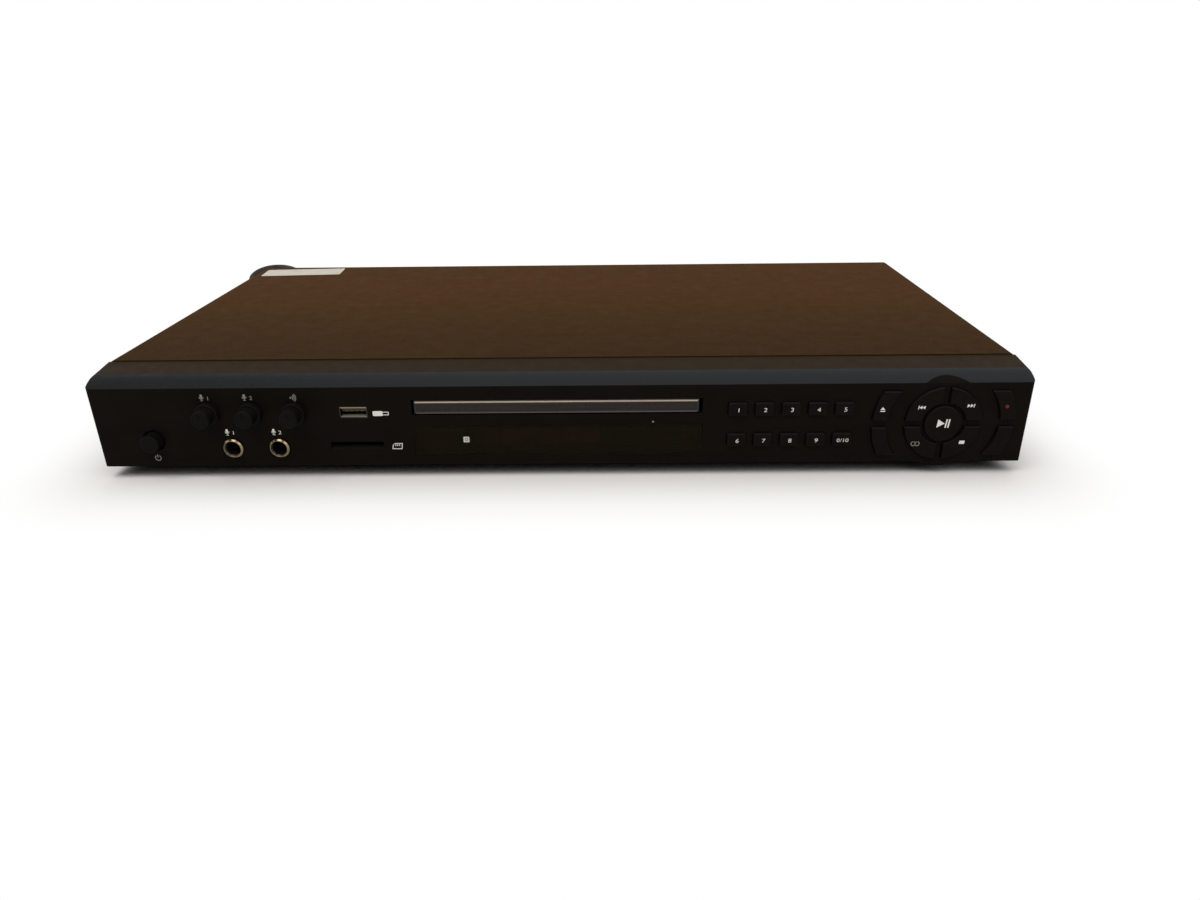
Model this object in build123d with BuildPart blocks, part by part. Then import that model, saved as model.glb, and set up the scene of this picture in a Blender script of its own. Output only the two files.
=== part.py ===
"""A karaoke disc player: sheet-metal case, moulded front, sliding disc tray, knobs and keys.

Frame: X runs to the right along the front, Y runs from the front to the rear and Z runs up.
Z is zero under the feet, X is zero at the middle, and Y is zero halfway along the body.
Most sizes below are given on the front panel: "depth" is measured rearwards from its face,
and "height" upwards from its bottom edge. All lengths are in millimetres.
"""

import math
import os

from build123d import *

# ---------------------------------------------------------------- driving dimensions
# Case
WIDTH = 430.0
DEPTH = 227.0
COVER_HEIGHT = 44.6
FOOT_HEIGHT = 6.0
FOOT_RADIUS = 11.0
FOOT_BEVEL = 1.0
FOOT_INSET_X = 48.0
FOOT_INSET_FRONT = 18.0
FOOT_INSET_REAR = 26.0
SHEET = 0.8
PLATE = 1.0
COVER_INSET = 0.5
COVER_BEND = 1.6
REAR_LIP = 6.0
REAR_GAP = 1.0
FLANGE_HEIGHT = 14.0
SCREW_SHANK = 1.4
SCREW_REACH = 4.0
SCREW_HEAD = 2.9
SCREW_HEAD_PROUD = 1.4
REAR_SCREW_X = WIDTH / 2 - 45
SIDE_SCREW_FRONT = 31.0
SIDE_SCREW_REAR = 42.0
SIDE_SCREW_HEIGHT = 8.0
VENT_PITCH = 8.0
VENT_LENGTH = 26.0
VENT_SLOT = 3.0
VENT_ROW = 36.0

# Front moulding
WALL = 2.5
TOP_WALL = 2.2
FACE_HEIGHT = 38.7
BAND_DEPTH = 10.1
BAND_HEIGHT = 42.4
BAND_CROWN = 0.85
STRIP_HEIGHT = 44.1
PANEL_DEPTH = 24.0
SEAM = 0.3
END_ROUND = 1.5
POST_RADIUS = 2.4

# Disc-control cluster on the right of the front
HUB_X = 0.4093 * WIDTH
HUB_HEIGHT = 19.5
HUB_RADIUS = 21.5
HUB_BLEND = 12.0
HUB_LENGTH = 9.0
PLAY_RADIUS = 8.4
RING_INNER = 10.2
RING_OUTER = 17.4
RING_GAP = 3.3
ARC_INNER = 25.7
ARC_OUTER = 32.3
ARC_GAP = 3.7
ARC_TOP = 15.6

# Number keys
KEY_WIDTH = 8.6
KEY_HEIGHT = 6.0
KEY_PITCH = 0.02819 * WIDTH
KEY_X = 0.19116 * WIDTH
KEY_ROWS = (27.1, 11.9)
KEY_PROUD = 1.5
KEY_GAP = 0.3
KEY_TRAVEL = 0.8
KEY_LIP = 0.85
KEY_CORNER = 0.8
KEY_EDGE = 0.45
FLANGE = 1.2

# Circuit board behind the front, and its switches
BOARD_DEPTH = 14.0
BOARD_THICK = 1.6
BOARD_INSET = 4.0
BOARD_SPLIT_GAP = 0.8
SWITCH_SIZE = 6.0
SWITCH_BODY = 3.6
PLUNGER_RADIUS = 1.7
PLUNGER_LENGTH = 1.6
STEM_RADIUS = 2.6
RUN_GAP = 0.1

# Microphone knobs, sockets and the mains button
KNOB_X = (-0.37372 * WIDTH, -0.32791 * WIDTH, -0.28093 * WIDTH)
KNOB_HEIGHT = 26.7
KNOB_SKIRT_RADIUS = 5.4
KNOB_SKIRT = 3.5
KNOB_RADIUS = 4.15
KNOB_PROUD = 9.5
SHAFT_RADIUS = 3.0
POT_SIZE = 11.0
POT_SETBACK = 3.5
KNOB_EDGE = 0.6
POINTER_WIDTH = 0.6
POINTER_DEPTH = 0.25
JACK_X = (-0.35372 * WIDTH, -0.30326 * WIDTH)
JACK_HEIGHT = 9.3
JACK_BORE = 3.2
JACK_NOSE = 3.95
JACK_RING = 4.7
JACK_RING_PROUD = 1.6
JACK_RING_BEVEL = 0.65
JACK_BODY = 12.0
JACK_LENGTH = 26.0
POWER_X = -0.43907 * WIDTH
POWER_HEIGHT = 13.2
POWER_RADIUS = 4.3
POWER_HOLE = 5.2
POWER_PROUD = 5.0
POWER_TRAVEL = 3.0
POWER_BACK = 5.5
POWER_SWITCH_LENGTH = 16.0
POWER_SWITCH_WIDTH = 14.0
POWER_SWITCH_TALL = 12.0

# Memory sockets
USB_X = -0.21814 * WIDTH
USB_HEIGHT = 26.6
USB_WIDTH = 12.8
USB_TALL = 5.6
USB_SHEET = 0.4
CARD_X = -0.21849 * WIDTH
CARD_LOW = 9.6
CARD_WIDTH = 24.9
CARD_TALL = 2.3
CARD_LIP = 1.3
CARD_BODY = 28.0
CARD_REAR = 30.0

# Display window and indicator
WINDOW_X = -0.35
WINDOW_HEIGHT = 12.35
WINDOW_WIDTH = 133.7
WINDOW_TALL = 14.5
WINDOW_THICK = 1.5
WINDOW_SEAT = 2.2
DISPLAY_X = WINDOW_X - 7.65
DISPLAY_WIDTH = 56.0
DISPLAY_TALL = 11.0
LAMP_X = WINDOW_X + 44.05
LAMP_HEIGHT = 21.1
LAMP_RADIUS = 0.75

# Disc tray and its door
TRAY_X = -0.4
MOUTH_WIDTH = 133.3
MOUTH_LOW = 25.1
MOUTH_TOP = 32.5
DOOR_GAP = 1.45
DOOR_WIDTH = MOUTH_WIDTH - 2 * DOOR_GAP
DOOR_THICK = 3.4
DOOR_BEVEL = 1.0
DOOR_END_BEVEL = 0.8
TRAY_LOW = 25.8
TRAY_TOP = 32.0
TRAY_SIDE_GAP = 2.45
TRAY_WIDTH = MOUTH_WIDTH - 2 * TRAY_SIDE_GAP
TRAY_LENGTH = 184.6
TRAY_SKIN = 1.4
TRAY_WALL = 1.8
DISC_DEPTH = 70.0
DISC_WELL = 60.9
WELL_FLOOR = 28.6
SMALL_WELL = 40.8
SMALL_FLOOR = 28.1
WELL_UNDERSIDE = 27.3
SLOT_HALF = 22.0
TRAY_TRAVEL = DISC_DEPTH + 68
SLIDE_GAP = 0.3

# Loader
LOADER_FRONT = 16.5
LOADER_REAR = DEPTH - 35
LOADER_LOW = 5.0
LOADER_FLOOR = 7.0
GUIDE_WALL = 3.0
GUIDE_LEDGE = 3.9
GUIDE_LIP = 2.5
BRIDGE_LOW = 36.5
BRIDGE_TOP = 38.0
BRIDGE_HALF = 15.0
CLAMP_RADIUS = 15.5
CLAMP_NECK = 8.0
TOOTH_MODULE = 1.0
RACK_PINION_TEETH = 16
WHEEL_MODULE = 0.8
WHEEL_TEETH = 32
MOTOR_PINION_TEETH = 10
GEAR_DEPTH = 31.5
BACKLASH = 0.3
AXLE_RADIUS = 1.5
FIT = 0.05
RACK_LINE = -53.0
WHEEL_LOW = 15.2
WHEEL_TOP = 18.4
WHEEL_HUB = 5.5
PINION_LOW = 24.6
PINION_TOP = 27.0
MOTOR_RADIUS = 8.0
MOTOR_LOW = 2.5
MOTOR_TOP = 13.0
MOTOR_SHAFT = 1.0

# Disc deck
DECK_HALF = 41.0
DECK_WINDOW = 28.5
DECK_LOW = 17.0
DECK_TOP = 18.6
PIVOT_DEPTH = LOADER_REAR - 24
PIVOT_HEIGHT = 15.0
PIVOT_RADIUS = 2.0
EAR = 5.0
DECK_FRONT = DISC_DEPTH - 22
DECK_REAR = PIVOT_DEPTH + EAR
BEARER = 4.0
BEARER_FRONT = (DISC_DEPTH + 14, DISC_DEPTH + 14 + BEARER)
BEARER_REAR = (PIVOT_DEPTH - 4 - BEARER, PIVOT_DEPTH - 4)
ROD_X = 24.0
ROD_HEIGHT = 15.4
ROD_RADIUS = 1.5
SLED_FRONT = BEARER_FRONT[1] + 1
SLED_LENGTH = 30.0
SLED_LOW = 13.0
SLED_TOP = 18.2
LENS_BLOCK_HALF = 11.0
LENS_BLOCK_LENGTH = 18.0
LENS_TOP = 28.0
LENS_RADIUS = 3.5
SCREW_X = -12.0
SCREW_HEIGHT = 10.4
SCREW_RADIUS = 1.6
SLED_MOTOR_RADIUS = 5.0
SLED_MOTOR_LENGTH = 12.0
TABLE_RADIUS = 15.0
TABLE_LOW = 27.4
TABLE_TOP = 30.2
TABLE_HUB = 11.0
TABLE_NOSE = 7.4
TABLE_NOSE_RISE = 2.2
SPINDLE_RADIUS = 1.5
SPINDLE_MOTOR_RADIUS = 11.0
SPINDLE_MOTOR_LOW = 10.5

# Circuit boards in the case
POWER_BOARD = ((-WIDTH / 2 + 10, -0.22326 * WIDTH), (PANEL_DEPTH + 38, DEPTH - 22))
MAIN_BOARD = ((0.21395 * WIDTH, WIDTH / 2 - 9), (DEPTH - 123, DEPTH - 14))
BOARD_LEVEL = 8.0
BOARD_SCREW_INSET = 5.0
STANDOFF_RADIUS = 3.2
TRANSFORMER_TALL = 22.0
BIG_CAPACITOR = 8.0
BIG_CAPACITOR_TALL = 26.0
SMALL_CAPACITOR = 5.0
SMALL_CAPACITOR_TALL = 16.0
HEAT_SINK_TALL = 28.0
CHIPS = ((-15, 59, 14), (24, 77, 7), (24, 52, 7))
CHIP_TALL = 2.0

# Rear sockets and mains lead
SOCKET_RADIUS = 4.15
SOCKET_PROUD = 8.0
SOCKET_PITCH = 14.0
SOCKET_SHEET = 0.8
SOCKET_NECK = 3.8
SOCKET_STEP = 0.4
SOCKET_PIN_BORE = 1.6
SOCKET_BLOCK = 12.3
SOCKET_X = 0.26977 * WIDTH
SOCKET_HEIGHT = 17.0
LEAD_X = -WIDTH / 2 + 10
LEAD_HEIGHT = 31.0
LEAD_DIAMETER = 5.4
LEAD_BEND_SHARE = 0.45
RELIEF_LENGTH = 21.0
RELIEF_NECK = 5.0
RELIEF_FLANGE = 6.5
COIL_X = LEAD_X - 6.5
COIL_DEPTH = DEPTH + 93
COIL_MEAN_RADIUS = 31.0
COIL_TURNS_WIDE = 3
COIL_TURNS_HIGH = 2
COIL_EDGE = 2.2
PLUG_WIDTH = 35.3
PLUG_THICK = 13.7
PLUG_BODY = 34.0
PLUG_SLEEVE = 16.0
PLUG_NECK = 6.5
PLUG_PIN = 19.0
PLUG_PIN_RADIUS = 2.0
PLUG_PIN_SPACING = 18.6

# ---------------------------------------------------------------- frame of the model
# The face stands so that knob fronts and rear socket ends are equally far from Y = 0.
FACE_Y = (KNOB_PROUD - DEPTH - SOCKET_PROUD) / 2
SKIN_X = WIDTH / 2 - COVER_INSET
INNER_X = SKIN_X - SHEET
REAR_FACE = DEPTH - REAR_GAP
SPAN = (Align.MIN, Align.MIN)


def front(depth=0.0):
    """Upright plane at a depth behind the face; its axes are X and height, its normal points at the user."""
    return Plane(origin=(0, FACE_Y + depth, FOOT_HEIGHT), x_dir=(1, 0, 0), z_dir=(0, -1, 0))


def plan(height=0.0):
    """Level plane at a height; its axes are X and depth, and its normal points up."""
    return Plane(origin=(0, FACE_Y, FOOT_HEIGHT + height), x_dir=(1, 0, 0), z_dir=(0, 0, 1))


def side(x=0.0):
    """Upright plane across the width; its axes are depth and height, and its normal points to +X."""
    return Plane(origin=(x, FACE_Y, FOOT_HEIGHT), x_dir=(0, 1, 0), z_dir=(1, 0, 0))


def box(x, depth, height, mode=Mode.ADD):
    """A block between two bounds along X, depth and height, added to or cut from the open part."""
    with BuildSketch(plan(height[0])) as outline:
        with Locations((x[0], depth[0])):
            Rectangle(x[1] - x[0], depth[1] - depth[0], align=SPAN)
    extrude(outline.sketch, amount=height[1] - height[0], mode=mode)


def cut_box(x, depth, height):
    """The same block, cut from the open part."""
    box(x, depth, height, Mode.SUBTRACT)


def rod_along_depth(places, radius, start, end, mode=Mode.ADD):
    """Round bars or bores along the depth, one at each (x, height) place."""
    with BuildSketch(front(end)) as section:
        with Locations(*places):
            Circle(radius)
    extrude(section.sketch, amount=end - start, mode=mode)


def rod_upright(places, radius, low, high, mode=Mode.ADD):
    """Round bars or bores along Z, one at each (x, depth) place."""
    with BuildSketch(plan(low)) as section:
        with Locations(*places):
            Circle(radius)
    extrude(section.sketch, amount=high - low, mode=mode)


def spread(centre, half):
    """The two bounds at equal distances from a centre."""
    return (centre - half, centre + half)


os.makedirs("parts", exist_ok=True)


def save(builder, name):
    """Label a finished piece and write it as one STEP file."""
    builder.part.label = name
    export_step(builder.part, f"parts/{name}.step")


# ---------------------------------------------------------------- shapes of the control keys
RING_MIDDLE = (RING_INNER + RING_OUTER) / 2
ARC_MIDDLE = (ARC_INNER + ARC_OUTER) / 2
ARC_LIFT = (ARC_GAP / 2 + ARC_TOP) / 2
ARC_REACH = math.sqrt(ARC_MIDDLE**2 - ARC_LIFT**2)


def ring_key(side_x, side_z, grow):
    """A quarter of the ring round the play key, grown on every side by the same amount."""
    reach = RING_OUTER + grow
    middle = RING_GAP / 2 - grow
    with Locations((HUB_X, HUB_HEIGHT)):
        Circle(reach)
        Circle(RING_INNER - min(grow, KEY_GAP), mode=Mode.SUBTRACT)
    with Locations((HUB_X + side_x * (middle + reach / 2), HUB_HEIGHT + side_z * (middle + reach / 2))):
        Rectangle(reach, reach, mode=Mode.INTERSECT)


def arc_key(side_x, side_z, grow):
    """A curved key outside the hub, cut level at its top and bottom."""
    low = ARC_GAP / 2 - grow
    high = ARC_TOP + grow
    reach = ARC_OUTER + grow
    with Locations((HUB_X, HUB_HEIGHT)):
        Circle(reach)
        Circle(ARC_INNER - grow, mode=Mode.SUBTRACT)
    with Locations((HUB_X + side_x * reach / 2, HUB_HEIGHT + side_z * (low + high) / 2)):
        Rectangle(reach, high - low, mode=Mode.INTERSECT)


def play_key(grow):
    """The round key in the middle of the hub."""
    with Locations((HUB_X, HUB_HEIGHT)):
        Circle(PLAY_RADIUS + min(grow, 0.9))


def number_key(x, height, grow):
    """A rectangular number key."""
    with Locations((x, height)):
        RectangleRounded(KEY_WIDTH + 2 * grow, KEY_HEIGHT + 2 * grow, KEY_CORNER + grow)


NUMBER_KEYS = {}
for row, row_height in enumerate(KEY_ROWS):
    for column in range(5):
        number = row * 5 + column + 1
        NUMBER_KEYS[f"number_key_{number}"] = (KEY_X + column * KEY_PITCH, row_height)

RING_KEYS = {
    "previous_key": (-1, 1),
    "next_key": (1, 1),
    "audio_mode_key": (-1, -1),
    "stop_key": (1, -1),
}
ARC_KEYS = {
    "eject_key": (-1, 1),
    "record_key": (1, 1),
    "source_key": (-1, -1),
    "record_play_key": (1, -1),
}


def key_outlines(grow):
    """Every key's name, the place of its switch and a call that draws its outline."""
    outlines = []
    for name, (x, height) in NUMBER_KEYS.items():
        outlines.append((name, (x, height), lambda x=x, height=height: number_key(x, height, grow)))
    for name, (sx, sz) in RING_KEYS.items():
        place = (HUB_X + sx * RING_MIDDLE * math.sqrt(0.5), HUB_HEIGHT + sz * RING_MIDDLE * math.sqrt(0.5))
        outlines.append((name, place, lambda sx=sx, sz=sz: ring_key(sx, sz, grow)))
    for name, (sx, sz) in ARC_KEYS.items():
        place = (HUB_X + sx * ARC_REACH, HUB_HEIGHT + sz * ARC_LIFT)
        outlines.append((name, place, lambda sx=sx, sz=sz: arc_key(sx, sz, grow)))
    outlines.append(("play_key", (HUB_X, HUB_HEIGHT), lambda: play_key(grow)))
    return outlines


SWITCH_PLACES = [place for _, place, _ in key_outlines(0)]

# ---------------------------------------------------------------- front moulding
MOUTH = (spread(TRAY_X, MOUTH_WIDTH / 2), (MOUTH_LOW, MOUTH_TOP))
BAND_SPAN = math.hypot(BAND_DEPTH, BAND_HEIGHT - FACE_HEIGHT)
BAND_MIDDLE = (
    BAND_DEPTH / 2 - BAND_CROWN * (BAND_HEIGHT - FACE_HEIGHT) / BAND_SPAN,
    (FACE_HEIGHT + BAND_HEIGHT) / 2 + BAND_CROWN * BAND_DEPTH / BAND_SPAN,
)
POST_OFFSET = MOUTH_WIDTH / 2 + 9.5
POST_HEIGHTS = (5.0, 33.5)
POST_COLUMNS = (TRAY_X - POST_OFFSET, TRAY_X + POST_OFFSET)
POST_PLACES = [(x, height) for x in POST_COLUMNS for height in POST_HEIGHTS]
POST_PLACES += [(HUB_X - 39.5, HUB_HEIGHT), (WIDTH / 2 - 6.5, 3.8)]
# The volume board's two posts: one at its end and one between the first two knobs.
POST_PLACES += [(-WIDTH / 2 + 17, POST_HEIGHTS[1])]
POST_PLACES += [((KNOB_X[0] + KNOB_X[1]) / 2, JACK_HEIGHT + JACK_BODY / 2 + 4)]

with BuildPart() as front_panel:
    # Shell: upright face, crowned band above it, then the strip that meets the cover.
    with BuildSketch(side(-WIDTH / 2)):
        with BuildLine():
            Line((0, 0), (0, FACE_HEIGHT))
            ThreePointArc((0, FACE_HEIGHT), BAND_MIDDLE, (BAND_DEPTH, BAND_HEIGHT))
            Polyline(
                (BAND_DEPTH, BAND_HEIGHT),
                (PANEL_DEPTH - SEAM, STRIP_HEIGHT),
                (PANEL_DEPTH - SEAM, TOP_WALL),
                (PANEL_DEPTH, TOP_WALL),
                (PANEL_DEPTH, 0),
                (0, 0),
            )
        make_face()
    extrude(amount=WIDTH)
    corner_edges = front_panel.edges().filter_by(Axis.Z).group_by(Axis.Y)[0]
    fillet(corner_edges, END_ROUND)
    # The hub stands proud of the face outline at its top and bottom, with blended corners.
    with BuildSketch(front(HUB_LENGTH)) as hub_outline:
        with Locations((HUB_X, HUB_HEIGHT)):
            Circle(HUB_RADIUS)
        with Locations((HUB_X, FACE_HEIGHT / 2)):
            Rectangle(2 * (WIDTH / 2 - HUB_X) - 2 * END_ROUND, FACE_HEIGHT)
        notches = [
            v
            for v in hub_outline.vertices()
            if abs(v.X - HUB_X) < HUB_RADIUS and (v.Y < 1 or v.Y > FACE_HEIGHT - 1)
        ]
        fillet(notches, HUB_BLEND)
    extrude(amount=HUB_LENGTH)
    # Hollow behind the face.
    with BuildSketch(side(-WIDTH / 2 + WALL)):
        with BuildLine():
            Polyline(
                (WALL, TOP_WALL),
                (WALL, FACE_HEIGHT - 1.1),
                (BAND_DEPTH + 0.4, BAND_HEIGHT - TOP_WALL - 0.1),
                (PANEL_DEPTH + 1, STRIP_HEIGHT - TOP_WALL),
                (PANEL_DEPTH + 1, TOP_WALL),
                (WALL, TOP_WALL),
            )
        make_face()
    extrude(amount=WIDTH - 2 * WALL, mode=Mode.SUBTRACT)
    # The hollow is deeper behind the hub, where the lowest keys reach.
    rod_along_depth([(HUB_X, HUB_HEIGHT)], HUB_RADIUS - TOP_WALL, WALL, HUB_LENGTH - 1.2, Mode.SUBTRACT)
    # Posts that carry the circuit board.
    rod_along_depth(POST_PLACES, POST_RADIUS, WALL - 0.5, BOARD_DEPTH)
    # Openings in the face.
    with BuildSketch(front(WALL + 1)):
        with Locations(((MOUTH[0][0] + MOUTH[0][1]) / 2, (MOUTH_LOW + MOUTH_TOP) / 2)):
            RectangleRounded(MOUTH_WIDTH, MOUTH_TOP - MOUTH_LOW, 0.6)
        with Locations((USB_X, USB_HEIGHT)):
            RectangleRounded(USB_WIDTH + 0.4, USB_TALL + 0.4, 0.5)
        with Locations((CARD_X, CARD_LOW + CARD_TALL / 2)):
            Rectangle(CARD_WIDTH, CARD_TALL)
        with Locations((WINDOW_X, WINDOW_HEIGHT)):
            Rectangle(WINDOW_WIDTH - 2 * WINDOW_SEAT, WINDOW_TALL - 2 * WINDOW_SEAT)
        with Locations((LAMP_X, LAMP_HEIGHT)):
            Circle(LAMP_RADIUS + 0.08)
        with Locations(*[(x, KNOB_HEIGHT) for x in KNOB_X]):
            Circle(SHAFT_RADIUS + KEY_GAP)
        with Locations(*[(x, JACK_HEIGHT) for x in JACK_X]):
            Circle(JACK_NOSE + RUN_GAP)
        with Locations((POWER_X, POWER_HEIGHT)):
            Circle(POWER_HOLE)
    extrude(amount=WALL + 2, mode=Mode.SUBTRACT)
    for _, _, outline in key_outlines(KEY_GAP):
        with BuildSketch(front(WALL + 1)):
            outline()
        extrude(amount=WALL + 2, mode=Mode.SUBTRACT)
    # Seat of the display window.
    with BuildSketch(front(WINDOW_THICK)):
        with Locations((WINDOW_X, WINDOW_HEIGHT)):
            Rectangle(WINDOW_WIDTH + 0.2, WINDOW_TALL + 0.2)
    extrude(amount=WINDOW_THICK + 1, mode=Mode.SUBTRACT)
    # Sloping lip under the card slot.
    with BuildSketch(side(CARD_X)):
        with BuildLine():
            Polyline(
                (-1, CARD_LOW - CARD_LIP * 1.7),
                (WALL * 0.7, CARD_LOW + 0.01),
                (-1, CARD_LOW + 0.01),
                (-1, CARD_LOW - CARD_LIP * 1.7),
            )
        make_face()
    extrude(amount=CARD_WIDTH / 2, both=True, mode=Mode.SUBTRACT)
save(front_panel, "front_panel")

with BuildPart() as display_window:
    with BuildSketch(front(WINDOW_THICK)):
        with Locations((WINDOW_X, WINDOW_HEIGHT)):
            Rectangle(WINDOW_WIDTH, WINDOW_TALL)
    extrude(amount=WINDOW_THICK)
save(display_window, "display_window")

with BuildPart() as indicator_lens:
    rod_along_depth([(LAMP_X, LAMP_HEIGHT)], LAMP_RADIUS, -0.2, BOARD_DEPTH)
save(indicator_lens, "indicator_lens")

with BuildPart() as display_module:
    box(
        spread(DISPLAY_X, DISPLAY_WIDTH / 2),
        (WALL + 2, BOARD_DEPTH),
        spread(WINDOW_HEIGHT, DISPLAY_TALL / 2),
    )
save(display_module, "display_module")

# ---------------------------------------------------------------- keys
FLANGE_FRONT = WALL + 0.4
FLANGE_BACK = FLANGE_FRONT + FLANGE
STEM_END = BOARD_DEPTH - SWITCH_BODY - 1.0
BORE_END = BOARD_DEPTH - SWITCH_BODY - PLUNGER_LENGTH - KEY_TRAVEL - 0.4

for (name, place, cap), (_, _, lip) in zip(key_outlines(0), key_outlines(KEY_LIP)):
    with BuildPart() as key:
        with BuildSketch(front(FLANGE_FRONT)):
            cap()
        extrude(amount=FLANGE_FRONT + KEY_PROUD)
        rim = key.faces().sort_by(Axis.Y)[0].edges()
        fillet(rim, KEY_EDGE)
        with BuildSketch(front(FLANGE_BACK)):
            lip()
        extrude(amount=FLANGE_BACK - FLANGE_FRONT)
        rod_along_depth([place], STEM_RADIUS, FLANGE_BACK, STEM_END)
        rod_along_depth([place], PLUNGER_RADIUS + RUN_GAP, BORE_END, STEM_END, Mode.SUBTRACT)
    save(key, name)

with BuildPart() as tact_switches:
    with BuildSketch(front(BOARD_DEPTH)):
        with Locations(*SWITCH_PLACES):
            Rectangle(SWITCH_SIZE, SWITCH_SIZE)
    extrude(amount=SWITCH_BODY)
    rod_along_depth(
        SWITCH_PLACES,
        PLUNGER_RADIUS,
        BOARD_DEPTH - SWITCH_BODY - PLUNGER_LENGTH,
        BOARD_DEPTH - SWITCH_BODY,
    )
save(tact_switches, "tact_switches")

# ---------------------------------------------------------------- microphone controls and mains button
POT_FRONT = WALL + POT_SETBACK
for index, x in enumerate(KNOB_X):
    with BuildPart() as knob:
        rod_along_depth([(x, KNOB_HEIGHT)], KNOB_SKIRT_RADIUS, -KNOB_SKIRT, -KEY_GAP)
        skirt_rim = knob.faces().sort_by(Axis.Y)[0].edges()
        fillet(skirt_rim, KNOB_EDGE)
        rod_along_depth([(x, KNOB_HEIGHT)], KNOB_RADIUS, -KNOB_PROUD, -KNOB_SKIRT)
        grip_rim = knob.faces().sort_by(Axis.Y)[0].edges()
        fillet(grip_rim, KNOB_EDGE)
        # Pointer groove from the middle of the front towards its rim.
        cut_box(
            spread(x, POINTER_WIDTH / 2),
            (-KNOB_PROUD - 1, -KNOB_PROUD + POINTER_DEPTH),
            (KNOB_HEIGHT + 0.2 * KNOB_RADIUS, KNOB_HEIGHT + 0.77 * KNOB_RADIUS),
        )
        # Shaft of the control, pressed into the knob.
        rod_along_depth([(x, KNOB_HEIGHT)], SHAFT_RADIUS, -KEY_GAP, POT_FRONT + 0.3)
    save(knob, f"knob_{index + 1}")

with BuildPart() as potentiometers:
    for x in KNOB_X:
        box(spread(x, POT_SIZE / 2), (POT_FRONT, BOARD_DEPTH), spread(KNOB_HEIGHT, POT_SIZE / 2))
    knob_axes = [(x, KNOB_HEIGHT) for x in KNOB_X]
    rod_along_depth(knob_axes, SHAFT_RADIUS + 1.4, WALL + 0.1, POT_FRONT)
    rod_along_depth(knob_axes, SHAFT_RADIUS + FIT, WALL, POT_FRONT + 0.6, Mode.SUBTRACT)
save(potentiometers, "potentiometers")

JACK_AXES = [(x, JACK_HEIGHT) for x in JACK_X]
with BuildPart() as mic_jacks:
    for x in JACK_X:
        box(spread(x, JACK_BODY / 2), (WALL + 0.1, JACK_LENGTH), spread(JACK_HEIGHT, JACK_BODY / 2 - 0.3))
    rod_along_depth(JACK_AXES, JACK_NOSE, 0, WALL + 0.1)
    rod_along_depth(JACK_AXES, JACK_BORE, 0, JACK_LENGTH - 1.5, Mode.SUBTRACT)
save(mic_jacks, "mic_jacks")

with BuildPart() as mic_jack_rings:
    for x in JACK_X:
        with BuildSketch(front(0)):
            with Locations((x, JACK_HEIGHT)):
                Circle(JACK_RING)
                Circle(JACK_BORE, mode=Mode.SUBTRACT)
        extrude(amount=JACK_RING_PROUD)
    ring_rims = mic_jack_rings.faces().sort_by(Axis.Y)[0:2].edges()
    chamfer(ring_rims, JACK_RING_BEVEL)
save(mic_jack_rings, "mic_jack_rings")

POWER_AXIS = [(POWER_X, POWER_HEIGHT)]
POWER_STEM = WALL + POWER_BACK
with BuildPart() as power_button:
    rod_along_depth(POWER_AXIS, POWER_RADIUS, -POWER_PROUD, POWER_STEM)
    button_rim = power_button.faces().sort_by(Axis.Y)[0].edges()
    fillet(button_rim, KNOB_EDGE)
    rod_along_depth(POWER_AXIS, POWER_HOLE + KEY_LIP, FLANGE_FRONT, FLANGE_BACK)
    rod_along_depth(POWER_AXIS, PLUNGER_RADIUS + RUN_GAP, WALL + 1.2, POWER_STEM, Mode.SUBTRACT)
save(power_button, "power_button")

SWITCH_FRONT = POWER_STEM + POWER_TRAVEL + KEY_GAP
with BuildPart() as power_switch:
    box(
        spread(POWER_X, POWER_SWITCH_WIDTH / 2),
        (SWITCH_FRONT, SWITCH_FRONT + POWER_SWITCH_LENGTH),
        spread(POWER_HEIGHT, POWER_SWITCH_TALL / 2),
    )
    rod_along_depth(POWER_AXIS, PLUNGER_RADIUS, POWER_STEM - 0.5, SWITCH_FRONT)
save(power_switch, "power_switch")

# ---------------------------------------------------------------- memory sockets
with BuildPart() as usb_socket:
    with BuildSketch(front(BOARD_DEPTH)):
        with Locations((USB_X, USB_HEIGHT)):
            RectangleRounded(USB_WIDTH, USB_TALL, 0.4)
    extrude(amount=BOARD_DEPTH - 0.2)
    with BuildSketch(front(BOARD_DEPTH - 1)):
        with Locations((USB_X, USB_HEIGHT)):
            Rectangle(USB_WIDTH - 2 * USB_SHEET, USB_TALL - 2 * USB_SHEET)
    extrude(amount=BOARD_DEPTH, mode=Mode.SUBTRACT)
    # Contact tongue, high in the shell.
    box(
        spread(USB_X, USB_WIDTH / 2 - 0.9),
        (WALL - 0.9, BOARD_DEPTH - 1),
        (USB_HEIGHT + 0.1, USB_HEIGHT + 1.9),
    )
save(usb_socket, "usb_socket")

with BuildPart() as card_socket:
    box(
        spread(CARD_X, CARD_BODY / 2),
        (WALL + 0.1, CARD_REAR),
        (CARD_LOW - 0.9, CARD_LOW + CARD_TALL + 0.9),
    )
    cut_box(spread(CARD_X, CARD_WIDTH / 2 - 0.2), (WALL, CARD_REAR - 1.5), (CARD_LOW, CARD_LOW + CARD_TALL))
save(card_socket, "card_socket")

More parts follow.
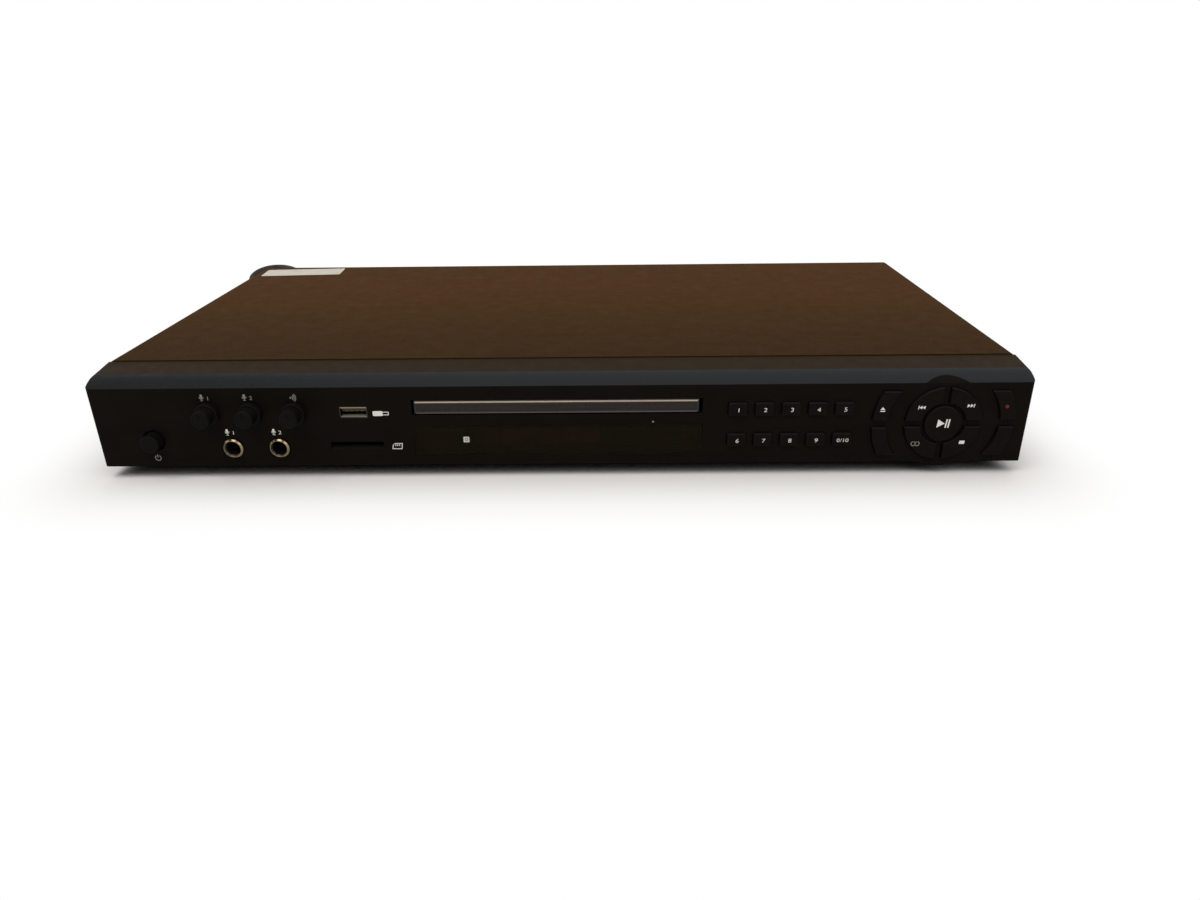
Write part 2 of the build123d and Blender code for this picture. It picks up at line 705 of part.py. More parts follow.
BOARD_SPLIT = (KNOB_X[2] + POT_SIZE / 2 + CARD_X - CARD_BODY / 2) / 2
BOARD_TOP = FACE_HEIGHT - 2.7
with BuildPart() as front_board:
    # Volume board, above the microphone jacks.
    box(
        (-WIDTH / 2 + BOARD_INSET, BOARD_SPLIT - BOARD_SPLIT_GAP / 2),
        (BOARD_DEPTH, BOARD_DEPTH + BOARD_THICK),
        (JACK_HEIGHT + JACK_BODY / 2 + 0.3, BOARD_TOP),
    )
    # Board for the sockets, the display and the keys.
    box(
        (BOARD_SPLIT + BOARD_SPLIT_GAP / 2, WIDTH / 2 - BOARD_INSET),
        (BOARD_DEPTH, BOARD_DEPTH + BOARD_THICK),
        (TOP_WALL + 0.4, BOARD_TOP),
    )
    through_board = (BOARD_DEPTH - 1, BOARD_DEPTH + BOARD_THICK + 1)
    cut_box(spread(TRAY_X, MOUTH_WIDTH / 2 + 5), through_board, (MOUTH_LOW - 2.5, FACE_HEIGHT))
    cut_box(
        spread(CARD_X, CARD_BODY / 2 + 0.3),
        through_board,
        (CARD_LOW - 1.2, CARD_LOW + CARD_TALL + 1.2),
    )
    cut_box(
        spread(POWER_X, POWER_SWITCH_WIDTH / 2 + 0.3),
        through_board,
        spread(POWER_HEIGHT, POWER_SWITCH_TALL / 2 + 0.3),
    )
save(front_board, "front_board")

# ---------------------------------------------------------------- chassis, cover, rear panel, feet
FOOT_PLACES = [
    (x, depth)
    for x in (-WIDTH / 2 + FOOT_INSET_X, WIDTH / 2 - FOOT_INSET_X)
    for depth in (PANEL_DEPTH + FOOT_INSET_FRONT, REAR_FACE - FOOT_INSET_REAR)
]
SIDE_SCREWS = [
    (PANEL_DEPTH + SIDE_SCREW_FRONT, SIDE_SCREW_HEIGHT),
    (DEPTH - SIDE_SCREW_REAR, SIDE_SCREW_HEIGHT),
]
REAR_SCREWS = [(x, COVER_HEIGHT - REAR_LIP / 2 - SHEET / 2) for x in (-REAR_SCREW_X, 0, REAR_SCREW_X)]


def corners(board):
    """The four screw places of a circuit board."""
    return [
        (x, depth)
        for x in (board[0][0] + BOARD_SCREW_INSET, board[0][1] - BOARD_SCREW_INSET)
        for depth in (board[1][0] + BOARD_SCREW_INSET, board[1][1] - BOARD_SCREW_INSET)
    ]


with BuildPart() as chassis:
    box((-INNER_X, INNER_X), (PANEL_DEPTH, REAR_FACE), (0, PLATE))
    for wall_x in (-INNER_X, INNER_X - PLATE):
        box((wall_x, wall_x + PLATE), (PANEL_DEPTH + 1, REAR_FACE - PLATE - 0.2), (0, FLANGE_HEIGHT))
    rod_upright(corners(POWER_BOARD) + corners(MAIN_BOARD), STANDOFF_RADIUS, PLATE, BOARD_LEVEL)
    # Cooling slots under the two boards.
    for board in (POWER_BOARD, MAIN_BOARD):
        with BuildSketch(plan(-1)):
            with Locations(((board[0][0] + board[0][1]) / 2, (board[1][0] + board[1][1]) / 2)):
                with GridLocations(VENT_PITCH, VENT_ROW, 10, 2):
                    SlotOverall(VENT_LENGTH, VENT_SLOT, rotation=90)
        extrude(amount=3, mode=Mode.SUBTRACT)
    for wall_x in (-INNER_X - 1, INNER_X - PLATE - 1):
        with BuildSketch(side(wall_x)):
            with Locations(*SIDE_SCREWS):
                Circle(SCREW_SHANK + RUN_GAP)
        extrude(amount=PLATE + 2, mode=Mode.SUBTRACT)
save(chassis, "chassis")

with BuildPart() as top_cover:
    with BuildSketch(front(DEPTH)) as cover_section:
        with Locations((0, 0.5)):
            Rectangle(2 * SKIN_X, COVER_HEIGHT - 0.5, align=(Align.CENTER, Align.MIN))
        fillet(cover_section.vertices().group_by(Axis.Y)[-1], COVER_BEND)
        with BuildSketch(front(DEPTH), mode=Mode.SUBTRACT) as cover_inside:
            Rectangle(2 * INNER_X, COVER_HEIGHT - SHEET, align=(Align.CENTER, Align.MIN))
            fillet(cover_inside.vertices().group_by(Axis.Y)[-1], COVER_BEND - SHEET)
    extrude(amount=DEPTH - PANEL_DEPTH)
    # Lip folded down over the top of the rear panel.
    box(
        spread(0, REAR_SCREW_X + 20),
        (DEPTH - SHEET, DEPTH),
        (COVER_HEIGHT - REAR_LIP, COVER_HEIGHT - SHEET / 2),
    )
    rod_along_depth(REAR_SCREWS, SCREW_SHANK + RUN_GAP, DEPTH - 3, DEPTH + 1, Mode.SUBTRACT)
    for wall_x in (-SKIN_X - 1, INNER_X - 1):
        with BuildSketch(side(wall_x)):
            with Locations(*SIDE_SCREWS):
                Circle(SCREW_SHANK + RUN_GAP)
        extrude(amount=SHEET + 2, mode=Mode.SUBTRACT)
save(top_cover, "top_cover")

SOCKET_PLACES = [
    (SOCKET_X + column * SOCKET_PITCH, SOCKET_HEIGHT + row * SOCKET_PITCH)
    for row in range(2)
    for column in range(3)
]
with BuildPart() as rear_panel:
    box((-INNER_X + 0.1, INNER_X - 0.1), (REAR_FACE - PLATE, REAR_FACE), (PLATE, COVER_HEIGHT - SHEET))
    fillet(rear_panel.edges().filter_by(Axis.Y).group_by(Axis.Z)[-1], COVER_BEND)
    rod_along_depth(SOCKET_PLACES, SOCKET_NECK + RUN_GAP, REAR_FACE - 2, REAR_FACE + 1, Mode.SUBTRACT)
    rod_along_depth(
        [(LEAD_X, LEAD_HEIGHT)],
        RELIEF_NECK + RUN_GAP,
        REAR_FACE - 2,
        REAR_FACE + 1,
        Mode.SUBTRACT,
    )
    rod_along_depth(REAR_SCREWS, SCREW_SHANK + RUN_GAP, REAR_FACE - 2, REAR_FACE + 1, Mode.SUBTRACT)
    with BuildSketch(front(REAR_FACE + 1)):
        with Locations((-WIDTH / 4, COVER_HEIGHT / 2)):
            with GridLocations(VENT_PITCH, 0, 14, 1):
                SlotOverall(0.45 * COVER_HEIGHT, VENT_SLOT, rotation=90)
    extrude(amount=3, mode=Mode.SUBTRACT)
save(rear_panel, "rear_panel")

with BuildPart() as case_screws:
    rod_along_depth(REAR_SCREWS, SCREW_SHANK, DEPTH - SCREW_REACH - REAR_GAP, DEPTH)
    rod_along_depth(REAR_SCREWS, SCREW_HEAD, DEPTH, DEPTH + SCREW_HEAD_PROUD)
    for hand in (-1, 1):
        head_x = hand * SKIN_X
        with BuildSketch(side(head_x)):
            with Locations(*SIDE_SCREWS):
                Circle(SCREW_HEAD)
        extrude(amount=hand * SCREW_HEAD_PROUD)
        with BuildSketch(side(head_x)):
            with Locations(*SIDE_SCREWS):
                Circle(SCREW_SHANK)
        extrude(amount=-hand * SCREW_REACH)
save(case_screws, "case_screws")

with BuildPart() as feet:
    for x, depth in FOOT_PLACES:
        with BuildSketch(plan(0)):
            with Locations((x, depth)):
                Circle(FOOT_RADIUS)
        extrude(amount=-FOOT_HEIGHT)
    foot_rims = feet.edges().group_by(Axis.Z)[0]
    chamfer(foot_rims, FOOT_BEVEL)
save(feet, "feet")

# ---------------------------------------------------------------- gears
def gear(module, teeth, x, depth, low, high, bore, turn=0.0):
    """A spur wheel with straight-sided teeth and some backlash, made in the open part."""
    pitch_radius = module * teeth / 2
    root = pitch_radius - 1.1 * module
    tip = pitch_radius + 0.75 * module
    half_root = module * math.pi / 4 + 0.36 * module - BACKLASH / 2 * module
    half_tip = module * math.pi / 4 - 0.36 * module - BACKLASH / 2 * module
    with BuildSketch(plan(low)) as wheel:
        with Locations((x, depth)):
            Circle(root)
            with PolarLocations(0, teeth, start_angle=turn):
                Polygon(
                    (root - 0.3, -half_root),
                    (tip, -half_tip),
                    (tip, half_tip),
                    (root - 0.3, half_root),
                    align=None,
                )
            Circle(bore, mode=Mode.SUBTRACT)
    extrude(wheel.sketch, amount=high - low)


PINION_PITCH = TOOTH_MODULE * RACK_PINION_TEETH / 2
GEAR_X = TRAY_X + RACK_LINE + PINION_PITCH
MOTOR_X = GEAR_X + WHEEL_MODULE * (WHEEL_TEETH + MOTOR_PINION_TEETH) / 2

with BuildPart() as loading_gear:
    gear(WHEEL_MODULE, WHEEL_TEETH, GEAR_X, GEAR_DEPTH, WHEEL_LOW, WHEEL_TOP, AXLE_RADIUS + FIT)
    with BuildSketch(plan(WHEEL_TOP)):
        with Locations((GEAR_X, GEAR_DEPTH)):
            Circle(WHEEL_HUB)
            Circle(AXLE_RADIUS + FIT, mode=Mode.SUBTRACT)
    extrude(amount=PINION_LOW - WHEEL_TOP)
    gear(TOOTH_MODULE, RACK_PINION_TEETH, GEAR_X, GEAR_DEPTH, PINION_LOW, PINION_TOP, AXLE_RADIUS + FIT)
save(loading_gear, "loading_gear")

with BuildPart() as motor_pinion:
    gear(
        WHEEL_MODULE,
        MOTOR_PINION_TEETH,
        MOTOR_X,
        GEAR_DEPTH,
        WHEEL_LOW - 0.4,
        WHEEL_TOP + 0.4,
        0.6,
        180 / MOTOR_PINION_TEETH,
    )
    rod_upright([(MOTOR_X, GEAR_DEPTH)], MOTOR_SHAFT, MOTOR_TOP + RUN_GAP, WHEEL_TOP + 1.5)
save(motor_pinion, "motor_pinion")

with BuildPart() as loading_motor:
    rod_upright([(MOTOR_X, GEAR_DEPTH)], MOTOR_RADIUS, MOTOR_LOW, MOTOR_TOP)
    rod_upright([(MOTOR_X, GEAR_DEPTH)], MOTOR_RADIUS + 1.4, LOADER_FLOOR, LOADER_FLOOR + 1.0)
save(loading_motor, "loading_motor")

# ---------------------------------------------------------------- disc tray
TRAY_SPAN = spread(TRAY_X, TRAY_WIDTH / 2)
TRAY_RUN = (DOOR_THICK, DOOR_THICK + TRAY_LENGTH)
HOLLOW_SPAN = spread(TRAY_X, TRAY_WIDTH / 2 - TRAY_WALL)
HOLLOW_RUN = (TRAY_RUN[0] + TRAY_WALL, TRAY_RUN[1] - TRAY_WALL)
SKIN_LOW = TRAY_TOP - TRAY_SKIN
RACK_PITCH = math.pi * TOOTH_MODULE
RACK_TEETH = int((TRAY_TRAVEL + 10) / RACK_PITCH) + 1

with BuildPart() as disc_tray:
    box(TRAY_SPAN, TRAY_RUN, (TRAY_LOW, TRAY_TOP))
    cut_box(HOLLOW_SPAN, HOLLOW_RUN, (TRAY_LOW, WELL_UNDERSIDE))
    with BuildSketch(plan(WELL_UNDERSIDE)):
        with Locations((TRAY_X, (HOLLOW_RUN[0] + HOLLOW_RUN[1]) / 2)):
            Rectangle(HOLLOW_SPAN[1] - HOLLOW_SPAN[0], HOLLOW_RUN[1] - HOLLOW_RUN[0])
        with Locations((TRAY_X, DISC_DEPTH)):
            Circle(DISC_WELL + 1.7, mode=Mode.SUBTRACT)
    extrude(amount=SKIN_LOW - WELL_UNDERSIDE, mode=Mode.SUBTRACT)
    # Ribs beside the long slot, and the toothed rack under the left side.
    for rib_x in (TRAY_X - SLOT_HALF - 1.6, TRAY_X + SLOT_HALF):
        box((rib_x, rib_x + 1.6), (DISC_DEPTH, HOLLOW_RUN[1]), (TRAY_LOW, SKIN_LOW))
    rack_start = GEAR_DEPTH - 2 * RACK_PITCH
    rack_end = rack_start + RACK_TEETH * RACK_PITCH
    rack_root = TRAY_X + RACK_LINE - 1.1 * TOOTH_MODULE
    box((rack_root - 2.2, rack_root), (rack_start - 1, rack_end + 1), (TRAY_LOW, SKIN_LOW))
    half_root = RACK_PITCH / 4 + 0.36 * TOOTH_MODULE - BACKLASH / 2 * TOOTH_MODULE
    half_tip = RACK_PITCH / 4 - 0.36 * TOOTH_MODULE - BACKLASH / 2 * TOOTH_MODULE
    with BuildSketch(plan(TRAY_LOW)):
        with Locations(*[(rack_root, rack_start + (n + 0.5) * RACK_PITCH) for n in range(RACK_TEETH)]):
            Polygon(
                (-0.3, -half_root),
                (1.85 * TOOTH_MODULE, -half_tip),
                (1.85 * TOOTH_MODULE, half_tip),
                (-0.3, half_root),
                align=None,
            )
    extrude(amount=WELL_UNDERSIDE - TRAY_LOW)
    # Wells for the large and the small disc, then the slot that clears the deck.
    rod_upright([(TRAY_X, DISC_DEPTH)], DISC_WELL, WELL_FLOOR, TRAY_TOP + 1, Mode.SUBTRACT)
    rod_upright([(TRAY_X, DISC_DEPTH)], SMALL_WELL, SMALL_FLOOR, TRAY_TOP, Mode.SUBTRACT)
    rod_upright([(TRAY_X, DISC_DEPTH)], SLOT_HALF, TRAY_LOW - 1, TRAY_TOP + 1, Mode.SUBTRACT)
    cut_box(spread(TRAY_X, SLOT_HALF), (DISC_DEPTH, TRAY_RUN[1] + 1), (TRAY_LOW - 1, TRAY_TOP + 1))
save(disc_tray, "disc_tray")

with BuildPart() as tray_door:
    with BuildSketch(front(DOOR_THICK)):
        with Locations((TRAY_X - 0.2, (TRAY_LOW + TRAY_TOP) / 2)):
            Rectangle(DOOR_WIDTH, TRAY_TOP - TRAY_LOW)
    extrude(amount=DOOR_THICK)
    door_face = tray_door.faces().sort_by(Axis.Y)[0]
    chamfer(door_face.edges().sort_by(Axis.Z)[-1], DOOR_BEVEL)
    door_face = tray_door.faces().sort_by(Axis.Y)[0]
    chamfer(door_face.edges().filter_by(Axis.Z), DOOR_END_BEVEL)
save(tray_door, "tray_door")

# ---------------------------------------------------------------- loader frame and clamp
GUIDE_INNER = TRAY_WIDTH / 2 + SLIDE_GAP
GUIDE_OUTER = GUIDE_INNER + GUIDE_WALL
GUIDE_RUN = (LOADER_FRONT, LOADER_REAR)
LEDGE_TOP = TRAY_LOW - SLIDE_GAP
LIP_LOW = TRAY_TOP + SLIDE_GAP
GUIDE_TOP = LIP_LOW + 1.7
WELL_OPENING = DECK_HALF + 1.2

with BuildPart() as loader_frame:
    box(spread(TRAY_X, GUIDE_OUTER), GUIDE_RUN, (LOADER_LOW, LOADER_FLOOR))
    cut_box(
        spread(TRAY_X, WELL_OPENING),
        (DECK_FRONT - 4, LOADER_REAR - 12),
        (LOADER_LOW - 1, LOADER_FLOOR + 1),
    )
    for hand in (-1, 1):
        wall = sorted((TRAY_X + hand * GUIDE_INNER, TRAY_X + hand * GUIDE_OUTER))
        box(wall, GUIDE_RUN, (LOADER_LOW, GUIDE_TOP))
        ledge = sorted((TRAY_X + hand * (GUIDE_INNER - GUIDE_LEDGE), TRAY_X + hand * GUIDE_INNER))
        box(ledge, GUIDE_RUN, (LEDGE_TOP - 2, LEDGE_TOP))
        lip = sorted((TRAY_X + hand * (GUIDE_INNER - GUIDE_LIP), TRAY_X + hand * GUIDE_INNER))
        box(lip, GUIDE_RUN, (LIP_LOW, GUIDE_TOP))
        # Lug with the deck's pivot hole.
        lug = sorted((TRAY_X + hand * (WELL_OPENING + 0.8), TRAY_X + hand * (WELL_OPENING + 6)))
        box(lug, spread(PIVOT_DEPTH, EAR), (LOADER_FLOOR - 1, PIVOT_HEIGHT + 4))
        with BuildSketch(side(lug[0] - 1)):
            with Locations((PIVOT_DEPTH, PIVOT_HEIGHT)):
                Circle(PIVOT_RADIUS + FIT)
        extrude(amount=lug[1] - lug[0] + 2, mode=Mode.SUBTRACT)
        # Feet of the frame on the chassis.
        foot_x = TRAY_X + hand * (GUIDE_OUTER - 5)
        places = [(foot_x, LOADER_FRONT + 20), (foot_x, LOADER_REAR - 6)]
        rod_upright(places, 4.0, PLATE, LOADER_LOW)
    rod_upright(
        [(MOTOR_X, GEAR_DEPTH)],
        MOTOR_RADIUS + RUN_GAP,
        LOADER_LOW - 1,
        LOADER_FLOOR + 1,
        Mode.SUBTRACT,
    )
    rod_upright([(GEAR_X, GEAR_DEPTH)], 4.0, LOADER_FLOOR, WHEEL_LOW - 0.2)
    rod_upright([(GEAR_X, GEAR_DEPTH)], AXLE_RADIUS, LOADER_FLOOR, PINION_TOP - 0.4)
save(loader_frame, "loader_frame")

with BuildPart() as clamp_bridge:
    box(spread(TRAY_X, GUIDE_OUTER), spread(DISC_DEPTH, BRIDGE_HALF), (BRIDGE_LOW, BRIDGE_TOP))
    for hand in (-1, 1):
        leg = sorted((TRAY_X + hand * (GUIDE_OUTER - 4), TRAY_X + hand * GUIDE_OUTER))
        box(leg, spread(DISC_DEPTH, BRIDGE_HALF), (GUIDE_TOP, BRIDGE_LOW))
    rod_upright(
        [(TRAY_X, DISC_DEPTH)],
        CLAMP_NECK + KEY_GAP,
        BRIDGE_LOW - 1,
        BRIDGE_TOP + 1,
        Mode.SUBTRACT,
    )
save(clamp_bridge, "clamp_bridge")

with BuildPart() as disc_clamp:
    rod_upright([(TRAY_X, DISC_DEPTH)], CLAMP_RADIUS, GUIDE_TOP - 0.8, BRIDGE_LOW - 1.1)
    rod_upright([(TRAY_X, DISC_DEPTH)], CLAMP_NECK, BRIDGE_LOW - 1.1, BRIDGE_TOP + 0.3)
    rod_upright([(TRAY_X, DISC_DEPTH)], CLAMP_NECK + 2.5, BRIDGE_TOP + 0.3, BRIDGE_TOP + 1.5)
save(disc_clamp, "disc_clamp")

# ---------------------------------------------------------------- tilting deck
with BuildPart() as deck:
    box(spread(TRAY_X, DECK_HALF), (DECK_FRONT, DECK_REAR), (DECK_LOW, DECK_TOP))
    cut_box(
        spread(TRAY_X, DECK_WINDOW),
        (BEARER_FRONT[1], BEARER_REAR[0]),
        (DECK_LOW - 1, DECK_TOP + 1),
    )
    for bearer in (BEARER_FRONT, BEARER_REAR):
        box(spread(TRAY_X, DECK_WINDOW), bearer, (SCREW_HEIGHT - 3, DECK_LOW))
    for hand in (-1, 1):
        ear = sorted((TRAY_X + hand * (DECK_HALF - 3), TRAY_X + hand * DECK_HALF))
        box(ear, spread(PIVOT_DEPTH, EAR), (PIVOT_HEIGHT - 3.5, DECK_LOW))
        with BuildSketch(side(TRAY_X + hand * (DECK_HALF - 1))):
            with Locations((PIVOT_DEPTH, PIVOT_HEIGHT)):
                Circle(PIVOT_RADIUS)
        extrude(amount=hand * 7.5)
    rod_places = [(TRAY_X - ROD_X, ROD_HEIGHT), (TRAY_X + ROD_X, ROD_HEIGHT)]
    rod_along_depth(rod_places, ROD_RADIUS, BEARER_FRONT[0] - 1, BEARER_REAR[1] + 1, Mode.SUBTRACT)
    rod_along_depth(
        [(TRAY_X + SCREW_X, SCREW_HEIGHT)],
        SCREW_RADIUS + FIT,
        BEARER_FRONT[0] - 1,
        BEARER_REAR[1] + 1,
        Mode.SUBTRACT,
    )
    rod_upright([(TRAY_X, DISC_DEPTH)], SPINDLE_RADIUS + RUN_GAP, DECK_LOW - 1, DECK_TOP + 1, Mode.SUBTRACT)
save(deck, "deck")

with BuildPart() as deck_drives:
    # Spindle motor, sled motor and the two guide rods: four separate steel pieces.
    rod_upright([(TRAY_X, DISC_DEPTH)], SPINDLE_MOTOR_RADIUS, SPINDLE_MOTOR_LOW, DECK_LOW)
    rod_along_depth(
        [(TRAY_X + SCREW_X, SCREW_HEIGHT)],
        SLED_MOTOR_RADIUS,
        BEARER_REAR[1] + 0.2,
        BEARER_REAR[1] + SLED_MOTOR_LENGTH,
    )
    rod_along_depth(rod_places, ROD_RADIUS, BEARER_FRONT[0], BEARER_REAR[1])
save(deck_drives, "deck_drives")

with BuildPart() as lead_screw:
    rod_along_depth([(TRAY_X + SCREW_X, SCREW_HEIGHT)], SCREW_RADIUS, BEARER_FRONT[0] + 0.3, BEARER_REAR[1])
save(lead_screw, "lead_screw")

with BuildPart() as turntable:
    rod_upright([(TRAY_X, DISC_DEPTH)], SPINDLE_RADIUS, DECK_LOW + RUN_GAP, DECK_TOP + 0.4)
    rod_upright([(TRAY_X, DISC_DEPTH)], TABLE_HUB, DECK_TOP + 0.4, TABLE_LOW)
    rod_upright([(TRAY_X, DISC_DEPTH)], TABLE_RADIUS, TABLE_LOW, TABLE_TOP)
    with BuildSketch(plan(TABLE_TOP)):
        with Locations((TRAY_X, DISC_DEPTH)):
            Circle(TABLE_NOSE)
    extrude(amount=TABLE_NOSE_RISE, taper=20)
save(turntable, "turntable")

with BuildPart() as pickup_sled:
    sled_run = (SLED_FRONT, SLED_FRONT + SLED_LENGTH)
    box(spread(TRAY_X, DECK_WINDOW - 1), sled_run, (SLED_LOW, SLED_TOP))
    # Block that carries the lens, and the nut on the lead screw.
    box(spread(TRAY_X, LENS_BLOCK_HALF), (SLED_FRONT, SLED_FRONT + LENS_BLOCK_LENGTH), (SLED_TOP, LENS_TOP))
    rod_upright([(TRAY_X, SLED_FRONT + 6)], LENS_RADIUS, LENS_TOP, LENS_TOP + 0.7)
    box(
        spread(TRAY_X + SCREW_X, 2 * SCREW_RADIUS),
        (SLED_FRONT + 10, SLED_FRONT + 18),
        (SCREW_HEIGHT - SCREW_RADIUS - 1, SLED_LOW),
    )
    rod_along_depth(rod_places, ROD_RADIUS + FIT, sled_run[0] - 1, sled_run[1] + 1, Mode.SUBTRACT)
    rod_along_depth(
        [(TRAY_X + SCREW_X, SCREW_HEIGHT)],
        SCREW_RADIUS + FIT,
        sled_run[0],
        sled_run[1],
        Mode.SUBTRACT,
    )
save(pickup_sled, "pickup_sled")

# ---------------------------------------------------------------- boards and their parts
with BuildPart() as circuit_boards:
    for board in (POWER_BOARD, MAIN_BOARD):
        box(board[0], board[1], (BOARD_LEVEL, BOARD_LEVEL + BOARD_THICK))
save(circuit_boards, "circuit_boards")

PARTS_LEVEL = BOARD_LEVEL + BOARD_THICK
POWER_MIDDLE = sum(POWER_BOARD[0]) / 2
MAIN_MIDDLE = sum(MAIN_BOARD[0]) / 2
POWER_REAR = POWER_BOARD[1][1]
MAIN_REAR = MAIN_BOARD[1][1]
BLOCK_FACE = REAR_FACE - PLATE - 0.2
with BuildPart() as board_parts:
    # Transformer, storage capacitors and heat sink on the power board.
    box(
        (POWER_MIDDLE - 20, POWER_MIDDLE + 8),
        (POWER_REAR - 85, POWER_REAR - 61),
        (PARTS_LEVEL, PARTS_LEVEL + TRANSFORMER_TALL),
    )
    big_places = [(POWER_MIDDLE - 34, POWER_REAR - 105), (POWER_MIDDLE + 30, POWER_REAR - 105)]
    rod_upright(big_places, BIG_CAPACITOR, PARTS_LEVEL, PARTS_LEVEL + BIG_CAPACITOR_TALL)
    small_places = [
        (POWER_MIDDLE + 36, POWER_REAR - 40),
        (POWER_MIDDLE + 22, POWER_REAR - 20),
        (POWER_MIDDLE + 38, POWER_REAR - 20),
    ]
    rod_upright(small_places, SMALL_CAPACITOR, PARTS_LEVEL, PARTS_LEVEL + SMALL_CAPACITOR_TALL)
    box(
        (POWER_MIDDLE - 25, POWER_MIDDLE + 18),
        (POWER_REAR - 33, POWER_REAR - 29),
        (PARTS_LEVEL, PARTS_LEVEL + HEAT_SINK_TALL),
    )
    # Chips on the main board.
    for chip_x, chip_depth, chip_half in CHIPS:
        box(
            spread(MAIN_MIDDLE + chip_x, chip_half),
            spread(MAIN_REAR - chip_depth, chip_half),
            (PARTS_LEVEL, PARTS_LEVEL + CHIP_TALL),
        )
    # Insulating block of the rear sockets, and a separate nose in each metal sleeve.
    box(
        (SOCKET_X - SOCKET_PITCH / 2, SOCKET_X + 2.5 * SOCKET_PITCH),
        (BLOCK_FACE - SOCKET_BLOCK, BLOCK_FACE),
        (PARTS_LEVEL, SOCKET_HEIGHT + 1.5 * SOCKET_PITCH),
    )
    rod_along_depth(SOCKET_PLACES, SOCKET_PIN_BORE, BLOCK_FACE - 4, BLOCK_FACE, Mode.SUBTRACT)
    nose_section = SOCKET_NECK - SOCKET_SHEET / 2 - FIT
    rod_along_depth(SOCKET_PLACES, nose_section, BLOCK_FACE + FIT, DEPTH + SOCKET_PROUD - 1.5)
    rod_along_depth(SOCKET_PLACES, SOCKET_PIN_BORE, BLOCK_FACE, DEPTH + SOCKET_PROUD, Mode.SUBTRACT)
save(board_parts, "board_parts")

with BuildPart() as rear_sockets:
    # Each sleeve steps down to a neck where it passes through the rear panel.
    for place in SOCKET_PLACES:
        rod_along_depth([place], SOCKET_RADIUS, REAR_FACE + SOCKET_STEP, DEPTH + SOCKET_PROUD)
        rod_along_depth([place], SOCKET_NECK, BLOCK_FACE, REAR_FACE + SOCKET_STEP)
        rod_along_depth(
            [place],
            SOCKET_NECK - SOCKET_SHEET / 2,
            BLOCK_FACE - 1,
            DEPTH + SOCKET_PROUD + 1,
            Mode.SUBTRACT,
        )
save(rear_sockets, "rear_sockets")

# ---------------------------------------------------------------- mains lead
with BuildPart() as strain_relief:
    with BuildSketch(plan(LEAD_HEIGHT)):
        with BuildLine():
            Polyline(
                (LEAD_X, REAR_FACE - 4),
                (LEAD_X + RELIEF_FLANGE, REAR_FACE - 4),
                (LEAD_X + RELIEF_FLANGE, REAR_FACE - PLATE),
                (LEAD_X + RELIEF_NECK, REAR_FACE - PLATE),
                (LEAD_X + RELIEF_NECK, REAR_FACE),
                (LEAD_X + RELIEF_FLANGE, REAR_FACE),
                (LEAD_X + RELIEF_FLANGE, REAR_FACE + 3),
                (LEAD_X + RELIEF_NECK, REAR_FACE + 3.6),
                (LEAD_X + LEAD_DIAMETER / 2 + 0.8, REAR_FACE + RELIEF_LENGTH),
                (LEAD_X, REAR_FACE + RELIEF_LENGTH),
                (LEAD_X, REAR_FACE - 4),
            )
        make_face()
    revolve(axis=Axis((LEAD_X, FACE_Y, FOOT_HEIGHT + LEAD_HEIGHT), (0, 1, 0)))
save(strain_relief, "strain_relief")

# Route of the free lead from the strain relief down to its coil: x, depth, height above the table.
LEAD_ROUTE = [
    (LEAD_X, DEPTH + 20, 37.0),
    (LEAD_X, DEPTH + 39.5, 37.0),
    (LEAD_X - 11.5, DEPTH + 57, 38.8),
    (LEAD_X - 33, DEPTH + 65, 37.4),
    (LEAD_X - 52, DEPTH + 75, 27.5),
    (LEAD_X - 57.5, DEPTH + 92.5, 16.5),
    (LEAD_X - 50.5, DEPTH + 111.5, 10.0),
    (LEAD_X - 34.5, DEPTH + 124, 8.3),
    (LEAD_X - 14.5, DEPTH + 128.5, 8.1),
]


def route_radii(points):
    """An arc for every inner corner of a route, as large as its two runs allow."""
    vectors = [Vector(*p) for p in points]
    radii = []
    for before, corner, after in zip(vectors, vectors[1:], vectors[2:]):
        half_turn = math.radians((corner - before).get_angle(after - corner) / 2)
        shorter = min((corner - before).length, (after - corner).length)
        radii.append(LEAD_BEND_SHARE * shorter / math.tan(half_turn))
    return radii


route = [(x, FACE_Y + depth, height) for x, depth, height in LEAD_ROUTE]
lead_radii = route_radii(route)
print("lead radii", [round(r, 1) for r in lead_radii])

with BuildPart() as lead:
    with BuildLine() as lead_path:
        FilletPolyline(*route, radius=lead_radii)
    with BuildSketch(Plane(origin=lead_path.line @ 0, z_dir=lead_path.line % 0)):
        Circle(LEAD_DIAMETER / 2)
    sweep()
lead_length = sum(edge.length for edge in lead_path.edges())
lead_section = math.pi * LEAD_DIAMETER**2 / 4
print("lead volume", round(lead.part.volume), "of", round(lead_length * lead_section))
save(lead, "lead")

COIL_HALF = COIL_TURNS_WIDE * LEAD_DIAMETER / 2
with BuildPart() as lead_coil:
    with BuildSketch(Plane.XY):
        with Locations((COIL_X, FACE_Y + COIL_DEPTH)):
            Circle(COIL_MEAN_RADIUS + COIL_HALF)
            Circle(COIL_MEAN_RADIUS - COIL_HALF, mode=Mode.SUBTRACT)
    extrude(amount=COIL_TURNS_HIGH * LEAD_DIAMETER)
    coil_rims = lead_coil.edges().group_by(Axis.Z)
    fillet(coil_rims[0] + coil_rims[-1], COIL_EDGE)
save(lead_coil, "lead_coil")

